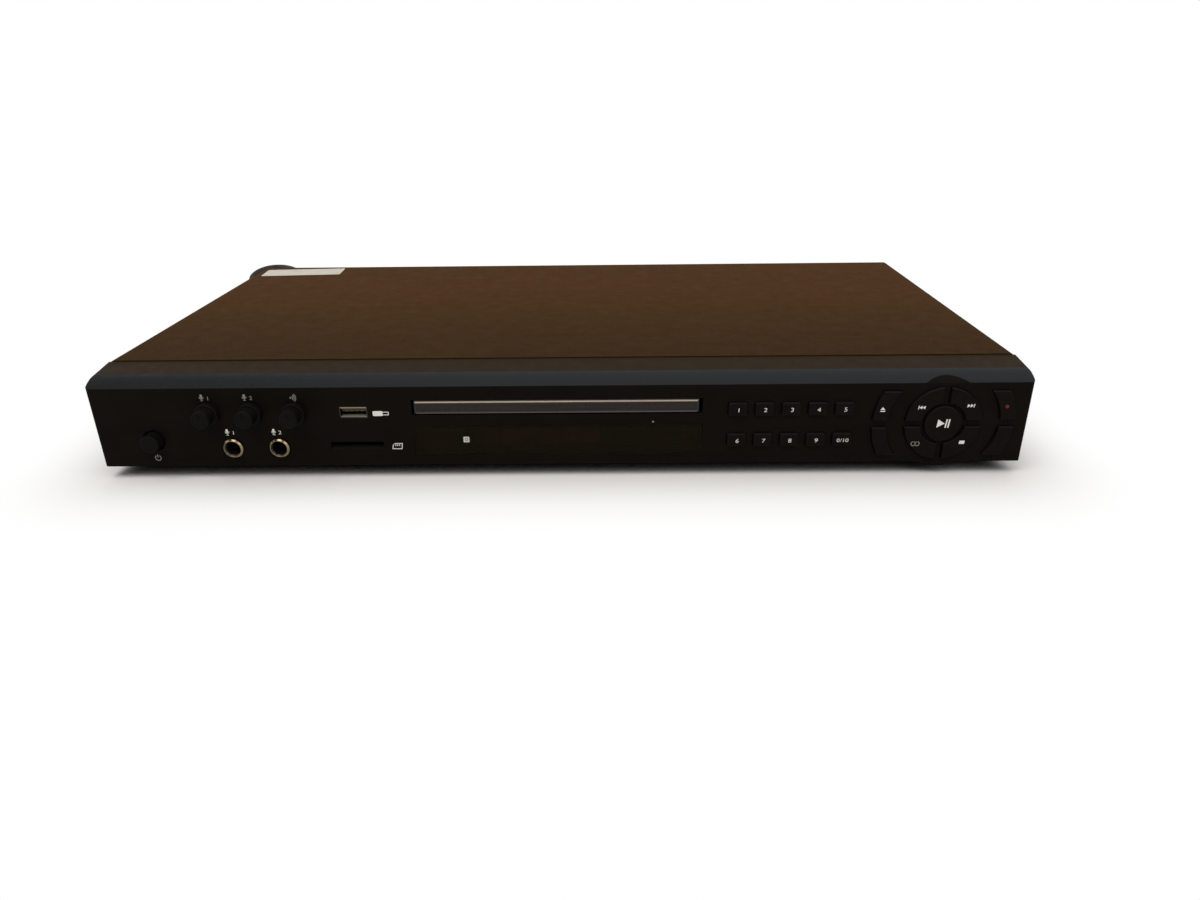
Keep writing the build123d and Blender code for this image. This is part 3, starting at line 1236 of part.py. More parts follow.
# The plug lies flat behind the coil, with its rear end on the coil's outer turn.
PLUG_REAR = COIL_X + 8.0
PLUG_DEPTH = COIL_DEPTH + COIL_MEAN_RADIUS + LEAD_DIAMETER
PLUG_Z = PLUG_THICK / 2
PLUG_BACK = PLUG_REAR + PLUG_SLEEVE
PLUG_SHOULDER = PLUG_BACK + 0.7 * PLUG_BODY
PLUG_FACE = PLUG_BACK + PLUG_BODY
PLUG_Y = FACE_Y + PLUG_DEPTH
with BuildPart() as plug:
    with BuildSketch(Plane.XY):
        with BuildLine():
            Polyline(
                (PLUG_BACK, PLUG_Y - PLUG_NECK),
                (PLUG_SHOULDER, PLUG_Y - PLUG_WIDTH / 2),
                (PLUG_FACE, PLUG_Y - PLUG_WIDTH / 2),
                (PLUG_FACE, PLUG_Y + PLUG_WIDTH / 2),
                (PLUG_SHOULDER, PLUG_Y + PLUG_WIDTH / 2),
                (PLUG_BACK, PLUG_Y + PLUG_NECK),
                close=True,
            )
        make_face()
    extrude(amount=PLUG_THICK)
    fillet(plug.edges().filter_by(Axis.Z), 2.0)
    fillet(plug.faces().filter_by(Axis.Z).edges(), 1.5)
    with BuildSketch(Plane(origin=(PLUG_REAR, PLUG_Y, PLUG_Z), z_dir=(1, 0, 0))):
        Circle(LEAD_DIAMETER / 2 + 0.6)
    extrude(amount=PLUG_SLEEVE + 1, taper=-3)
    with BuildSketch(Plane(origin=(PLUG_FACE, PLUG_Y, PLUG_Z), x_dir=(0, 1, 0), z_dir=(1, 0, 0))):
        with GridLocations(PLUG_PIN_SPACING, 0, 2, 1):
            Circle(PLUG_PIN_RADIUS)
    extrude(amount=PLUG_PIN)
save(plug, "plug")
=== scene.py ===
"""Looks of the karaoke disc player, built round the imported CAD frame.

Places are given as on the front panel: x along it, "depth" rearwards from its face and
"height" up from its bottom edge, all in millimetres. at() turns them into the frame's metres.
"""

import math

import bmesh
import bpy
from mathutils import Matrix, Vector


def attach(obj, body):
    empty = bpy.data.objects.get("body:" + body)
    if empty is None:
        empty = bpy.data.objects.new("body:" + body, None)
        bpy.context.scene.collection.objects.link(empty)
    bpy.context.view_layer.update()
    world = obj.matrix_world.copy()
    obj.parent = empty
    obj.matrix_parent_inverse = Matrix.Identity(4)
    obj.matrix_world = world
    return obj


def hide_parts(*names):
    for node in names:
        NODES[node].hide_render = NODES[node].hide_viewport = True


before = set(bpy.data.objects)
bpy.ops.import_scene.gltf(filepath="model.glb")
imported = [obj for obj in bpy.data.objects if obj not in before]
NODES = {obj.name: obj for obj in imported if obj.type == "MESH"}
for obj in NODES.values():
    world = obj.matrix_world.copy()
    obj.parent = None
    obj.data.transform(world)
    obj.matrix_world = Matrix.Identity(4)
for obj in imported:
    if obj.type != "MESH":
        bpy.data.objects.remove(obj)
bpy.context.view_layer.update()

MM = 0.001
# The case: the front face's place in the frame, the feet's height, the cover and the band.
FACE_Y = -112.75
FOOT = 6.0
CASE_DEPTH = 227.0
COVER_TOP = 44.6
COVER_HALF_WIDTH = 214.5
FACE_TOP = 38.7
BAND_DEPTH = 10.1
# Parts of the front: places along the face and heights on it.
HUB_X = 175.999
HUB_HEIGHT = 19.5
HUB_RADIUS = 21.5
KEY_X = 82.199
KEY_PITCH = 12.1217
KEY_ROWS = (27.1, 11.9)
KNOB_X = (-160.7, -141.0, -120.8)
KNOB_MARK_HEIGHT = 33.9
JACK_X = (-152.1, -130.4)
JACK_HEIGHT = 9.3
POWER_X = -188.8
USB_X = -93.8
CARD_X = -93.95
LAMP_X = 43.7
LAMP_HEIGHT = 21.1
DOOR_BOTTOM = 25.8
DOOR_TOP = 32.0
# The printed marks: their ink and the faces that they lie on.
INK_THICKNESS = 0.05
FACE_DEPTH = 0.0
KEY_DEPTH = -1.5
DIGIT_STRETCH = 1.25


def at(x, depth, height):
    """A place on the player, in the frame's metres."""
    return Vector((x, FACE_Y + depth, FOOT + height)) * MM


# ---------------------------------------------------------------- camera and light
def add_camera():
    """The photograph's viewpoint: before the player and above it, a little right of its middle."""
    data = bpy.data.cameras.new("camera")
    data.sensor_fit = "HORIZONTAL"
    data.sensor_width = 36.0
    data.lens = 25.5
    data.clip_start = 0.01
    data.clip_end = 50.0
    camera = bpy.data.objects.new("camera", data)
    camera.location = (0.02422, -0.47397, 0.17649)
    camera.rotation_euler = [math.radians(a) for a in (65.6353, 0.6486, 0.5053)]
    bpy.context.scene.collection.objects.link(camera)
    bpy.context.scene.camera = camera


def add_lamp(name, place, size, power, colour):
    """A soft rectangular lamp, aimed at the player."""
    data = bpy.data.lights.new(name, "AREA")
    data.shape = "RECTANGLE"
    data.size, data.size_y = size
    data.energy = power
    data.color = colour
    lamp = bpy.data.objects.new(name, data)
    lamp.location = place
    lamp.rotation_euler = (-Vector(place)).to_track_quat("-Z", "Y").to_euler()
    bpy.context.scene.collection.objects.link(lamp)


def background_share(nodes, links):
    """One for the camera, glossy and transmission rays, which see the plain white background."""
    path = nodes.new("ShaderNodeLightPath")
    share = path.outputs["Is Camera Ray"]
    for ray in ("Is Glossy Ray", "Is Transmission Ray"):
        either = nodes.new("ShaderNodeMath")
        either.operation = "MAXIMUM"
        links.new(share, either.inputs[0])
        links.new(path.outputs[ray], either.inputs[1])
        share = either.outputs[0]
    return share


def add_world():
    """A plain white background and a soft light that comes mostly from above."""
    world = bpy.data.worlds.new("studio")
    bpy.context.scene.world = world
    world.use_nodes = True
    nodes, links = world.node_tree.nodes, world.node_tree.links
    nodes.clear()
    white = nodes.new("ShaderNodeBackground")
    white.inputs["Color"].default_value = (1, 1, 1, 1)
    soft = nodes.new("ShaderNodeBackground")
    soft.inputs["Color"].default_value = (1.0, 0.98, 0.95, 1)
    place = nodes.new("ShaderNodeTexCoord")
    split = nodes.new("ShaderNodeSeparateXYZ")
    links.new(place.outputs["Generated"], split.inputs[0])
    rise = nodes.new("ShaderNodeMapRange")
    for name, number in (("From Min", 0.4), ("From Max", 0.9), ("To Min", 0.03), ("To Max", 1.15)):
        rise.inputs[name].default_value = number
    links.new(split.outputs["Z"], rise.inputs["Value"])
    links.new(rise.outputs["Result"], soft.inputs["Strength"])
    mix = nodes.new("ShaderNodeMixShader")
    out = nodes.new("ShaderNodeOutputWorld")
    links.new(background_share(nodes, links), mix.inputs[0])
    links.new(soft.outputs[0], mix.inputs[1])
    links.new(white.outputs[0], mix.inputs[2])
    links.new(mix.outputs[0], out.inputs[0])


def add_floor():
    """A pale floor that keeps the shadow near the player and is plain white further out."""
    mesh = bpy.data.meshes.new("floor")
    edge = 6.0
    corners = [(-edge, -edge, 0), (edge, -edge, 0), (edge, edge, 0), (-edge, edge, 0)]
    mesh.from_pydata(corners, [], [(0, 1, 2, 3)])
    floor = bpy.data.objects.new("floor", mesh)
    floor.location.z = -0.0004
    bpy.context.scene.collection.objects.link(floor)
    mat = bpy.data.materials.new("pale_floor")
    mat.use_nodes = True
    nodes, links = mat.node_tree.nodes, mat.node_tree.links
    nodes.clear()
    paper = nodes.new("ShaderNodeBsdfDiffuse")
    paper.inputs["Color"].default_value = (0.93, 0.925, 0.915, 1)
    white = nodes.new("ShaderNodeEmission")
    white.inputs["Strength"].default_value = 1.0
    shadow_box = (0.2, 0.1, 0.0)
    fade_start, fade_end = 0.012, 0.07
    place = nodes.new("ShaderNodeTexCoord")
    last = place.outputs["Object"]
    for operation, value in (("ABSOLUTE", None), ("SUBTRACT", shadow_box), ("MAXIMUM", (0.0, 0.0, 0.0))):
        step = nodes.new("ShaderNodeVectorMath")
        step.operation = operation
        links.new(last, step.inputs[0])
        if value:
            step.inputs[1].default_value = value
        last = step.outputs[0]
    length = nodes.new("ShaderNodeVectorMath")
    length.operation = "LENGTH"
    links.new(last, length.inputs[0])
    fade = nodes.new("ShaderNodeMapRange")
    fade.interpolation_type = "SMOOTHSTEP"
    fade.inputs["From Min"].default_value = fade_start
    fade.inputs["From Max"].default_value = fade_end
    links.new(length.outputs["Value"], fade.inputs["Value"])
    both = nodes.new("ShaderNodeMath")
    both.operation = "MULTIPLY"
    links.new(fade.outputs["Result"], both.inputs[0])
    links.new(background_share(nodes, links), both.inputs[1])
    mix = nodes.new("ShaderNodeMixShader")
    out = nodes.new("ShaderNodeOutputMaterial")
    links.new(both.outputs[0], mix.inputs[0])
    links.new(paper.outputs[0], mix.inputs[1])
    links.new(white.outputs[0], mix.inputs[2])
    links.new(mix.outputs[0], out.inputs[0])
    mesh.materials.append(mat)


add_camera()
add_world()
add_floor()
add_lamp("key", (-0.45, -0.75, 1.5), (1.2, 0.9), 9.0, (1.0, 0.98, 0.95))
add_lamp("fill", (1.0, -0.9, 0.9), (1.0, 0.8), 3.0, (1.0, 0.97, 0.93))
bpy.context.scene.view_settings.view_transform = "Standard"


# ---------------------------------------------------------------- materials
def srgb(red, green, blue):
    """A screen colour, 0 to 255, as the linear colour that shaders use."""
    linear = []
    for value in (red, green, blue):
        share = value / 255
        linear.append(share / 12.92 if share <= 0.04045 else ((share + 0.055) / 1.055) ** 2.4)
    return tuple(linear)


class Surface:
    """A material with its colour, roughness and bump drawn from procedural patterns."""

    def __init__(self, name, rough, specular, metallic=0.0):
        self.mat = bpy.data.materials.new(name)
        self.mat.use_nodes = True
        self.nodes = self.mat.node_tree.nodes
        self.links = self.mat.node_tree.links
        self.shader = self.nodes["Principled BSDF"]
        self.shader.inputs["Specular IOR Level"].default_value = specular
        self.shader.inputs["Metallic"].default_value = metallic
        self.shader.inputs["Roughness"].default_value = rough
        self.rough = rough
        self.coord = self.nodes.new("ShaderNodeTexCoord").outputs["Object"]
        self.normal = None

    def noise(self, scale, detail=3.0, stretch=None):
        """A noise pattern, its scale in cycles per metre."""
        node = self.nodes.new("ShaderNodeTexNoise")
        node.inputs["Scale"].default_value = scale
        node.inputs["Detail"].default_value = detail
        source = self.coord
        if stretch:
            mapping = self.nodes.new("ShaderNodeMapping")
            mapping.inputs["Scale"].default_value = stretch
            self.links.new(self.coord, mapping.inputs["Vector"])
            source = mapping.outputs["Vector"]
        self.links.new(source, node.inputs["Vector"])
        return node.outputs["Fac"]

    def ramp(self, value, low, high, to_low=0.0, to_high=1.0, smooth=False):
        """Stretches a value between two limits, and holds it outside them."""
        node = self.nodes.new("ShaderNodeMapRange")
        if smooth:
            node.interpolation_type = "SMOOTHSTEP"
        node.inputs["From Min"].default_value = low
        node.inputs["From Max"].default_value = high
        node.inputs["To Min"].default_value = to_low
        node.inputs["To Max"].default_value = to_high
        self.links.new(value, node.inputs["Value"])
        return node.outputs["Result"]

    def axis(self, name):
        """One coordinate of the place on the surface."""
        node = self.nodes.new("ShaderNodeSeparateXYZ")
        self.links.new(self.coord, node.inputs[0])
        return node.outputs[name]

    def facing(self, name):
        """One component of the surface's own direction."""
        geometry = self.nodes.new("ShaderNodeNewGeometry")
        node = self.nodes.new("ShaderNodeSeparateXYZ")
        self.links.new(geometry.outputs["Normal"], node.inputs[0])
        return node.outputs[name]

    def mix(self, factor, first, second):
        """Blends two colours, each a colour or another pattern's output."""
        node = self.nodes.new("ShaderNodeMix")
        node.data_type = "RGBA"
        self.links.new(factor, node.inputs[0])
        for socket, value in ((node.inputs[6], first), (node.inputs[7], second)):
            if isinstance(value, tuple):
                socket.default_value = (*value, 1)
            else:
                self.links.new(value, socket)
        return node.outputs[2]

    def times(self, first, second):
        """The product of two values."""
        node = self.nodes.new("ShaderNodeMath")
        node.operation = "MULTIPLY"
        self.links.new(first, node.inputs[0])
        self.links.new(second, node.inputs[1])
        return node.outputs[0]

    def length_after(self, steps):
        """Length of the place on the surface after a few vector operations."""
        last = self.coord
        for operation, value in steps:
            node = self.nodes.new("ShaderNodeVectorMath")
            node.operation = operation
            self.links.new(last, node.inputs[0])
            if value:
                node.inputs[1].default_value = value
            last = node.outputs[0]
        node = self.nodes.new("ShaderNodeVectorMath")
        node.operation = "LENGTH"
        self.links.new(last, node.inputs[0])
        return node.outputs["Value"]

    def colour(self, value):
        """Gives the surface its colour."""
        self.links.new(value, self.shader.inputs["Base Color"])
        return self

    def mottled(self, colour, spread=0.12, scale=90.0):
        """A colour that varies a little from place to place."""
        low = tuple(c * (1 - spread) for c in colour)
        high = tuple(c * (1 + spread) for c in colour)
        return self.mix(self.ramp(self.noise(scale, 4.0), 0.3, 0.7), low, high)

    def uneven_gloss(self, scale=160.0, spread=0.07):
        """Roughness that varies a little from place to place."""
        low = max(0.02, self.rough - spread)
        value = self.ramp(self.noise(scale, 4.0), 0.3, 0.7, low, self.rough + spread)
        self.links.new(value, self.shader.inputs["Roughness"])
        return self

    def bump(self, height, strength, distance):
        """Relief from a height pattern, on top of any that the surface already has."""
        node = self.nodes.new("ShaderNodeBump")
        node.inputs["Strength"].default_value = strength
        node.inputs["Distance"].default_value = distance
        self.links.new(height, node.inputs["Height"])
        if self.normal:
            self.links.new(self.normal, node.inputs["Normal"])
        self.normal = node.outputs["Normal"]
        self.links.new(self.normal, self.shader.inputs["Normal"])
        return self

    def grain(self, scale, strength=0.25, distance=0.00004):
        """A fine, even grain."""
        return self.bump(self.noise(scale, 2.0), strength, distance)

    def reach(self, x, height):
        """Distance from an axis that runs front to back through a place on the face."""
        middle = (x * MM, 0, (FOOT + height) * MM)
        return self.length_after((("SUBTRACT", middle), ("MULTIPLY", (1, 0, 1))))

    def above(self, height, fade):
        """Zero below a height on the player and one above it, over a short fade in millimetres."""
        low = FOOT + height
        return self.ramp(self.axis("Z"), low * MM, (low + fade) * MM)

    def below(self, height, fade):
        """One below a height on the player and zero above it, over a short fade in millimetres."""
        low = FOOT + height
        return self.ramp(self.axis("Z"), low * MM, (low + fade) * MM, 1.0, 0.0)


def moulded(name, colour, rough=0.45, specular=0.12, grain=1900.0, strength=0.22):
    """Moulded plastic with a fine spark-eroded grain."""
    made = Surface(name, rough, specular)
    made.colour(made.mottled(colour)).uneven_gloss().grain(grain, strength)
    return made.mat


def metal(name, colour, rough, brushed=None):
    """Bare or plated metal, brushed along one direction where a stretch is given."""
    made = Surface(name, rough, 0.5, 1.0)
    made.colour(made.mottled(colour, 0.07, 140.0)).uneven_gloss(300.0, 0.06)
    if brushed:
        made.bump(made.noise(700.0, 3.0, brushed), 0.18, 0.00003)
    else:
        made.grain(900.0, 0.08, 0.00002)
    return made.mat


def cover_paint():
    """Near-black powder coat with a painted reflection of warm light: brown, darker at the front and
    lighter towards the rear; a fine orange-peel texture with small light specks.
    """
    made = Surface("cover_paint", 0.6, 0.008)
    # Painted reflection: the warm brown is darker at the front and lighter towards the rear.
    reflection_towards_rear = made.ramp(made.axis("Y"), -0.10, 0.06, smooth=True)
    front = made.mottled(srgb(55, 38, 19), 0.035, 22.0)
    rear = made.mottled(srgb(71, 46, 21), 0.035, 22.0)
    base = made.mix(reflection_towards_rear, front, rear)
    specks = made.ramp(made.noise(2600.0, 1.0), 0.60, 0.74, 0.0, 0.35)
    made.colour(made.mix(specks, base, srgb(110, 80, 42)))
    made.uneven_gloss(120.0, 0.06)
    made.grain(1700.0, 0.22, 0.00004)
    return made.mat


def front_plastic():
    """The front moulding, all near-black plastic: a plain face; the satin band above it is painted
    blue-grey as a painted reflection, lighter from the left end towards the middle; the strip at the
    cover is painted warm brown as a painted reflection.
    """
    made = Surface("front_plastic", 0.45, 0.02)
    face = made.mottled(srgb(19, 16, 12), 0.12, 60.0)
    # Painted reflection: the band is painted blue-grey with lighter flecks, lighter from the left end
    # towards the middle.
    along = made.ramp(made.axis("X"), -0.21, -0.02, smooth=True)
    band = made.mix(along, srgb(33, 35, 36), srgb(43, 46, 48))
    flecks = made.ramp(made.noise(900.0, 2.0), 0.45, 0.75, 0.0, 0.25)
    band = made.mix(flecks, band, srgb(50, 54, 56))
    # Painted reflection: the strip is painted warm brown.
    strip = made.mottled(srgb(43, 33, 20), 0.06, 60.0)
    over = made.above(FACE_TOP + 0.02, 0.23)
    strip_start = FACE_Y + BAND_DEPTH - 0.15
    back = made.ramp(made.axis("Y"), strip_start * MM, (strip_start + 0.25) * MM)
    hub_edge = HUB_RADIUS + 0.05
    off_hub = made.ramp(made.reach(HUB_X, HUB_HEIGHT), hub_edge * MM, (hub_edge + 0.2) * MM)
    made.colour(made.mix(made.times(over, off_hub), face, made.mix(back, band, strip)))
    made.uneven_gloss(200.0, 0.06)
    made.grain(2100.0, 0.25)
    return made.mat


def key_plastic(name, colour):
    """Satin keys with painted highlights: a little lighter along their upper and lower rounded edges."""
    made = Surface(name, 0.42, 0.025)
    body = made.mottled(colour, 0.12, 150.0)
    # Painted highlights: the upward- and downward-facing rounded edges are painted lighter.
    upward = made.ramp(made.facing("Z"), 0.25, 0.85)
    lit = made.mix(upward, body, srgb(33, 31, 29))
    downward = made.ramp(made.facing("Z"), -0.25, -0.85)
    made.colour(made.mix(downward, lit, srgb(36, 33, 29)))
    made.uneven_gloss(250.0, 0.06)
    made.grain(2300.0, 0.18)
    return made.mat


def door_plastic():
    """Smoked silver tray door with fine brushing along its length, and painted highlights: a bright line
    on the top bevel, lighter upper and lower edges and lighter blue-grey ends.
    """
    made = Surface("door_plastic", 0.3, 0.08)
    brushed = made.ramp(made.noise(1400.0, 3.0, (0.02, 1, 1)), 0.3, 0.7)
    body = made.mix(brushed, srgb(40, 36, 34), srgb(51, 46, 44))
    # Painted highlights: a lighter lower edge, a lighter band along the top and a lighter upward-facing
    # bevel.
    body = made.mix(made.below(DOOR_BOTTOM, 0.9), body, srgb(96, 92, 90))
    body = made.mix(made.above(DOOR_TOP - 1.5, 0.25), body, srgb(80, 73, 66))
    bevel = made.ramp(made.facing("Z"), 0.3, 0.65)
    body = made.mix(bevel, body, srgb(78, 73, 69))
    # Painted highlight: a bright line along the lower part of the top bevel.
    painted_highlight_line = made.times(bevel, made.below(DOOR_TOP - 0.6, 0.2))
    body = made.mix(painted_highlight_line, body, srgb(190, 174, 156))
    # Painted light: the ends, facing sideways, are painted a lighter blue-grey.
    painted_end_light = srgb(60, 64, 72)
    body = made.mix(made.ramp(made.facing("X"), 0.3, 0.65), body, painted_end_light)
    made.colour(made.mix(made.ramp(made.facing("X"), -0.3, -0.65), body, painted_end_light))
    made.uneven_gloss(260.0, 0.05)
    made.bump(made.noise(900.0, 2.0, (0.03, 1, 1)), 0.08, 0.00002)
    return made.mat


def nickel_rings():
    """Nickel rings of the microphone sockets, with painted shade: dark where they slope into the bore.
    """
    made = Surface("nickel_rings", 0.24, 0.5, 1.0)
    middle, half = (JACK_X[0] + JACK_X[1]) / 2, (JACK_X[1] - JACK_X[0]) / 2
    steps = (
        ("SUBTRACT", (middle * MM, 0, (FOOT + JACK_HEIGHT) * MM)),
        ("ABSOLUTE", None),
        ("SUBTRACT", (half * MM, 0, 0)),
        ("MULTIPLY", (1, 0, 1)),
    )
    # Painted shade: near-black inside this radius, where each ring slopes into its bore.
    rim = made.ramp(made.length_after(steps), 3.75 * MM, 3.95 * MM)
    bright = made.mottled((0.27, 0.205, 0.125), 0.1, 300.0)
    made.colour(made.mix(rim, (0.035, 0.03, 0.024), bright))
    made.uneven_gloss(300.0, 0.05).grain(900.0, 0.06, 0.00002)
    return made.mat


def clear_lens():
    """Clear light pipe: dark like the face, with a painted highlight as its small bright tip."""
    made = Surface("clear_lens", 0.25, 0.1)
    # Painted highlight: a small bright spot in the middle of the tip.
    rim = made.ramp(made.reach(LAMP_X, LAMP_HEIGHT), 0.2 * MM, 0.34 * MM)
    made.colour(made.mix(rim, srgb(226, 214, 198), made.mottled(srgb(30, 26, 22))))
    return made.uneven_gloss().grain(1500.0, 0.05).mat


def smoked_window():
    """Dark brown acrylic that shows a little of the display behind it."""
    made = Surface("window_acrylic", 0.15, 0.02)
    made.colour(made.mottled(srgb(30, 24, 15), 0.10, 40.0))
    made.shader.inputs["Alpha"].default_value = 0.72
    made.uneven_gloss(90.0, 0.04)
    made.grain(500.0, 0.03, 0.00002)
    return made.mat


def circuit_board(name, track, lacquer, specular=0.4):
    """Lacquered board with short runs of paler tracks and patches of tinned pads."""
    made = Surface(name, 0.35, specular)
    bricks = made.nodes.new("ShaderNodeTexBrick")
    bricks.inputs["Scale"].default_value = 90.0
    bricks.inputs["Mortar Size"].default_value = 0.03
    bricks.inputs["Mortar Smooth"].default_value = 0.0
    made.links.new(made.coord, bricks.inputs["Vector"])
    tracks = made.times(bricks.outputs["Fac"], made.ramp(made.noise(110.0), 0.47, 0.49))
    grid = made.nodes.new("ShaderNodeTexVoronoi")
    grid.inputs["Scale"].default_value = 394.0
    grid.inputs["Randomness"].default_value = 0.0
    made.links.new(made.coord, grid.inputs["Vector"])
    dots = made.ramp(grid.outputs["Distance"], 0.24, 0.28, 1.0, 0.0)
    pads = made.times(dots, made.ramp(made.noise(70.0), 0.56, 0.57))
    coated = made.mix(tracks, made.mottled(lacquer, 0.12, 200.0), track)
    made.colour(made.mix(pads, coated, srgb(112, 112, 104)))
    made.bump(tracks, 0.2, 0.00003)
    return made.uneven_gloss().mat


def ink(name, colour):
    """Screen-printed ink with slightly thin patches."""
    made = Surface(name, 0.5, 0.2)
    made.colour(made.mottled(colour, 0.08, 2500.0))
    made.uneven_gloss(2500.0, 0.1).grain(4000.0, 0.1, 0.00001)
    return made.mat


def cable_vinyl(name, colour):
    """Soft black vinyl: fine scuffs and a slightly uneven surface."""
    made = Surface(name, 0.5, 0.2)
    scuffs = made.ramp(made.noise(500.0, 5.0), 0.58, 0.75, 0.0, 0.5)
    made.colour(made.mix(scuffs, made.mottled(colour, 0.12, 200.0), tuple(2.2 * c for c in colour)))
    made.uneven_gloss(300.0, 0.1).grain(1200.0, 0.2, 0.00005)
    return made.mat


PAINT = cover_paint()
FRONT = front_plastic()
KEYS = key_plastic("key_plastic", srgb(19, 16, 13))
KNOBS = moulded("knob_plastic", srgb(19, 17, 16), 0.42, 0.03, 2400.0, 0.2)
DOOR = door_plastic()
WINDOW = smoked_window()
ZINC = metal("zinc_steel", (0.50, 0.50, 0.49), 0.38, (0.05, 1, 1))
STEEL = metal("turned_steel", (0.56, 0.55, 0.54), 0.3)
CHROME = metal("bright_nickel", (0.52, 0.45, 0.36), 0.22)
SHELL = metal("tinned_shell", (0.045, 0.038, 0.03), 0.4)
BRASS = metal("gold_flash", (0.62, 0.47, 0.26), 0.25)
BLACK = moulded("black_plastic", srgb(26, 25, 24))
TRAY = moulded("tray_plastic", srgb(34, 33, 32), 0.38, 0.3, 1500.0)
GREY = moulded("grey_plastic", srgb(88, 88, 88), 0.45, 0.3)
WHITE = moulded("natural_acetal", srgb(214, 211, 202), 0.4, 0.4)
BOARD = circuit_board("green_board", srgb(70, 128, 74), srgb(24, 82, 48))
RUBBER = moulded("foot_rubber", srgb(22, 22, 22), 0.8, 0.15, 800.0, 0.4)
VINYL = cable_vinyl("lead_vinyl", srgb(24, 23, 22))
INK = ink("white_ink", srgb(236, 234, 228))
DIM_INK = ink("grey_ink", srgb(150, 146, 138))
RED_INK = ink("red_ink", srgb(112, 26, 13))

NODE_LOOKS = {
    "top_cover": PAINT,
    "front_panel": FRONT,
    "display_window": WINDOW,
    "display_module": moulded("display_module", srgb(14, 11, 8), 0.3, 0.3),
    "indicator_lens": clear_lens(),
    "tray_door": DOOR,
    "chassis": moulded("base_paint", srgb(26, 23, 20), 0.55, 0.04, 1700.0, 0.2),
    "rear_panel": ZINC,
    "case_screws": STEEL,
    "feet": RUBBER,
    "front_board": circuit_board("front_board_lacquer", srgb(24, 42, 28), srgb(9, 22, 15), 0.1),
    "circuit_boards": BOARD,
    "tact_switches": GREY,
    "potentiometers": STEEL,
    "mic_jacks": BLACK,
    "mic_jack_rings": nickel_rings(),
    "power_switch": BLACK,
    "usb_socket": SHELL,
    "card_socket": SHELL,
    "board_parts": BLACK,
    "rear_sockets": CHROME,
    "loader_frame": BLACK,
    "clamp_bridge": ZINC,
    "loading_motor": STEEL,
    "disc_tray": TRAY,
    "loading_gear": WHITE,
    "motor_pinion": WHITE,
    "deck": GREY,
    "deck_drives": STEEL,
    "turntable": BLACK,
    "pickup_sled": GREY,
    "lead_screw": STEEL,
    "disc_clamp": WHITE,
    "knob_1": KNOBS,
    "knob_2": KNOBS,
    "knob_3": KNOBS,
    "power_button": KNOBS,
    "strain_relief": VINYL,
    "lead": VINYL,
    "lead_coil": VINYL,
    "plug": VINYL,
}
for node_name, node in NODES.items():
    look = NODE_LOOKS.get(node_name, KEYS)
    for material_slot in node.material_slots:
        material_slot.material = look


# ---------------------------------------------------------------- mesh helpers
def add_piece(name, mesh, look, body, smooth_angle=None):
    """A finished piece: its material and the body that it rides on."""
    piece = bpy.data.objects.new(name, mesh)
    bpy.context.scene.collection.objects.link(piece)
    mesh.materials.append(look)
    if smooth_angle is not None:
        for polygon in mesh.polygons:
            polygon.use_smooth = True
        mesh.set_sharp_from_angle(angle=math.radians(smooth_angle))
    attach(piece, body)
    return piece


def turned_ring(bm, place, axis, radius, distance, steps):
    """A ring of points about an axis that starts at a place."""
    turn = Vector(axis).to_track_quat("Z", "Y").to_matrix()
    ring = []
    for k in range(steps):
        angle = 2 * math.pi * k / steps
        local = Vector((radius * math.cos(angle), radius * math.sin(angle), distance))
        ring.append(bm.verts.new(place + turn @ local * MM))
    return ring


def join_rings(bm, rings):
    """Joins each ring of points to the next with four-sided faces."""
    for first, second in zip(rings, rings[1:]):
        count = len(first)
        for k in range(count):
            n = (k + 1) % count
            bm.faces.new((first[k], first[n], second[n], second[k]))


def finished_mesh(bm, name):
    """Turns all faces outwards and makes the mesh."""
    bmesh.ops.recalc_face_normals(bm, faces=bm.faces)
    mesh = bpy.data.meshes.new(name)
    bm.to_mesh(mesh)
    bm.free()
    return mesh


def flat_plate(name, outlines, thickness, place, look, body, shear=0.0):
    """Thin shapes on an upright face, from closed outlines in millimetres about a place."""
    bm = bmesh.new()
    for outline in outlines:
        corners = []
        for x, z in outline:
            corners.append(bm.verts.new(place + Vector((x + shear * z, 0, z)) * MM))
        face = bm.faces.new(corners)
        made = bmesh.ops.extrude_face_region(bm, geom=[face])
        for vertex in [v for v in made["geom"] if isinstance(v, bmesh.types.BMVert)]:
            vertex.co.y -= thickness * MM
    return add_piece(name, finished_mesh(bm, name), look, body)


def lathe(name, profile, place, axis, look, body, steps=48, smooth_angle=35):
    """A turned piece from (radius, distance) pairs along an axis that starts at a place."""
    bm = bmesh.new()
    rings = [turned_ring(bm, place, axis, radius, distance, steps) for radius, distance in profile]
    join_rings(bm, rings)
    bm.faces.new(rings[0])
    bm.faces.new(rings[-1])
    bmesh.ops.remove_doubles(bm, verts=bm.verts, dist=1e-7)
    return add_piece(name, finished_mesh(bm, name), look, body, smooth_angle)


def arc_points(radius, start, end, steps, centre=(0.0, 0.0)):
    """Points on an arc between two angles in degrees."""
    points = []
    for k in range(steps + 1):
        angle = math.radians(start + (end - start) * k / steps)
        points.append((centre[0] + radius * math.cos(angle), centre[1] + radius * math.sin(angle)))
    return points


def bow(inner, outer, start, end, steps=14, centre=(0.0, 0.0)):
    """A curved stroke between two radii."""
    return arc_points(outer, start, end, steps, centre) + arc_points(inner, end, start, steps, centre)


def bar(x, z, width, tall):
    """A rectangle from its lower left corner."""
    return [(x, z), (x + width, z), (x + width, z + tall), (x, z + tall)]


def rounded_bar(x, z, width, tall, radius, steps=5):
    """A rectangle with rounded corners, from its lower left corner."""
    points = []
    for cx, cz, start in (
        (x + width - radius, z + radius, -90),
        (x + width - radius, z + tall - radius, 0),
        (x + radius, z + tall - radius, 90),
        (x + radius, z + radius, 180),
    ):
        points += arc_points(radius, start, start + 90, steps, (cx, cz))
    return points


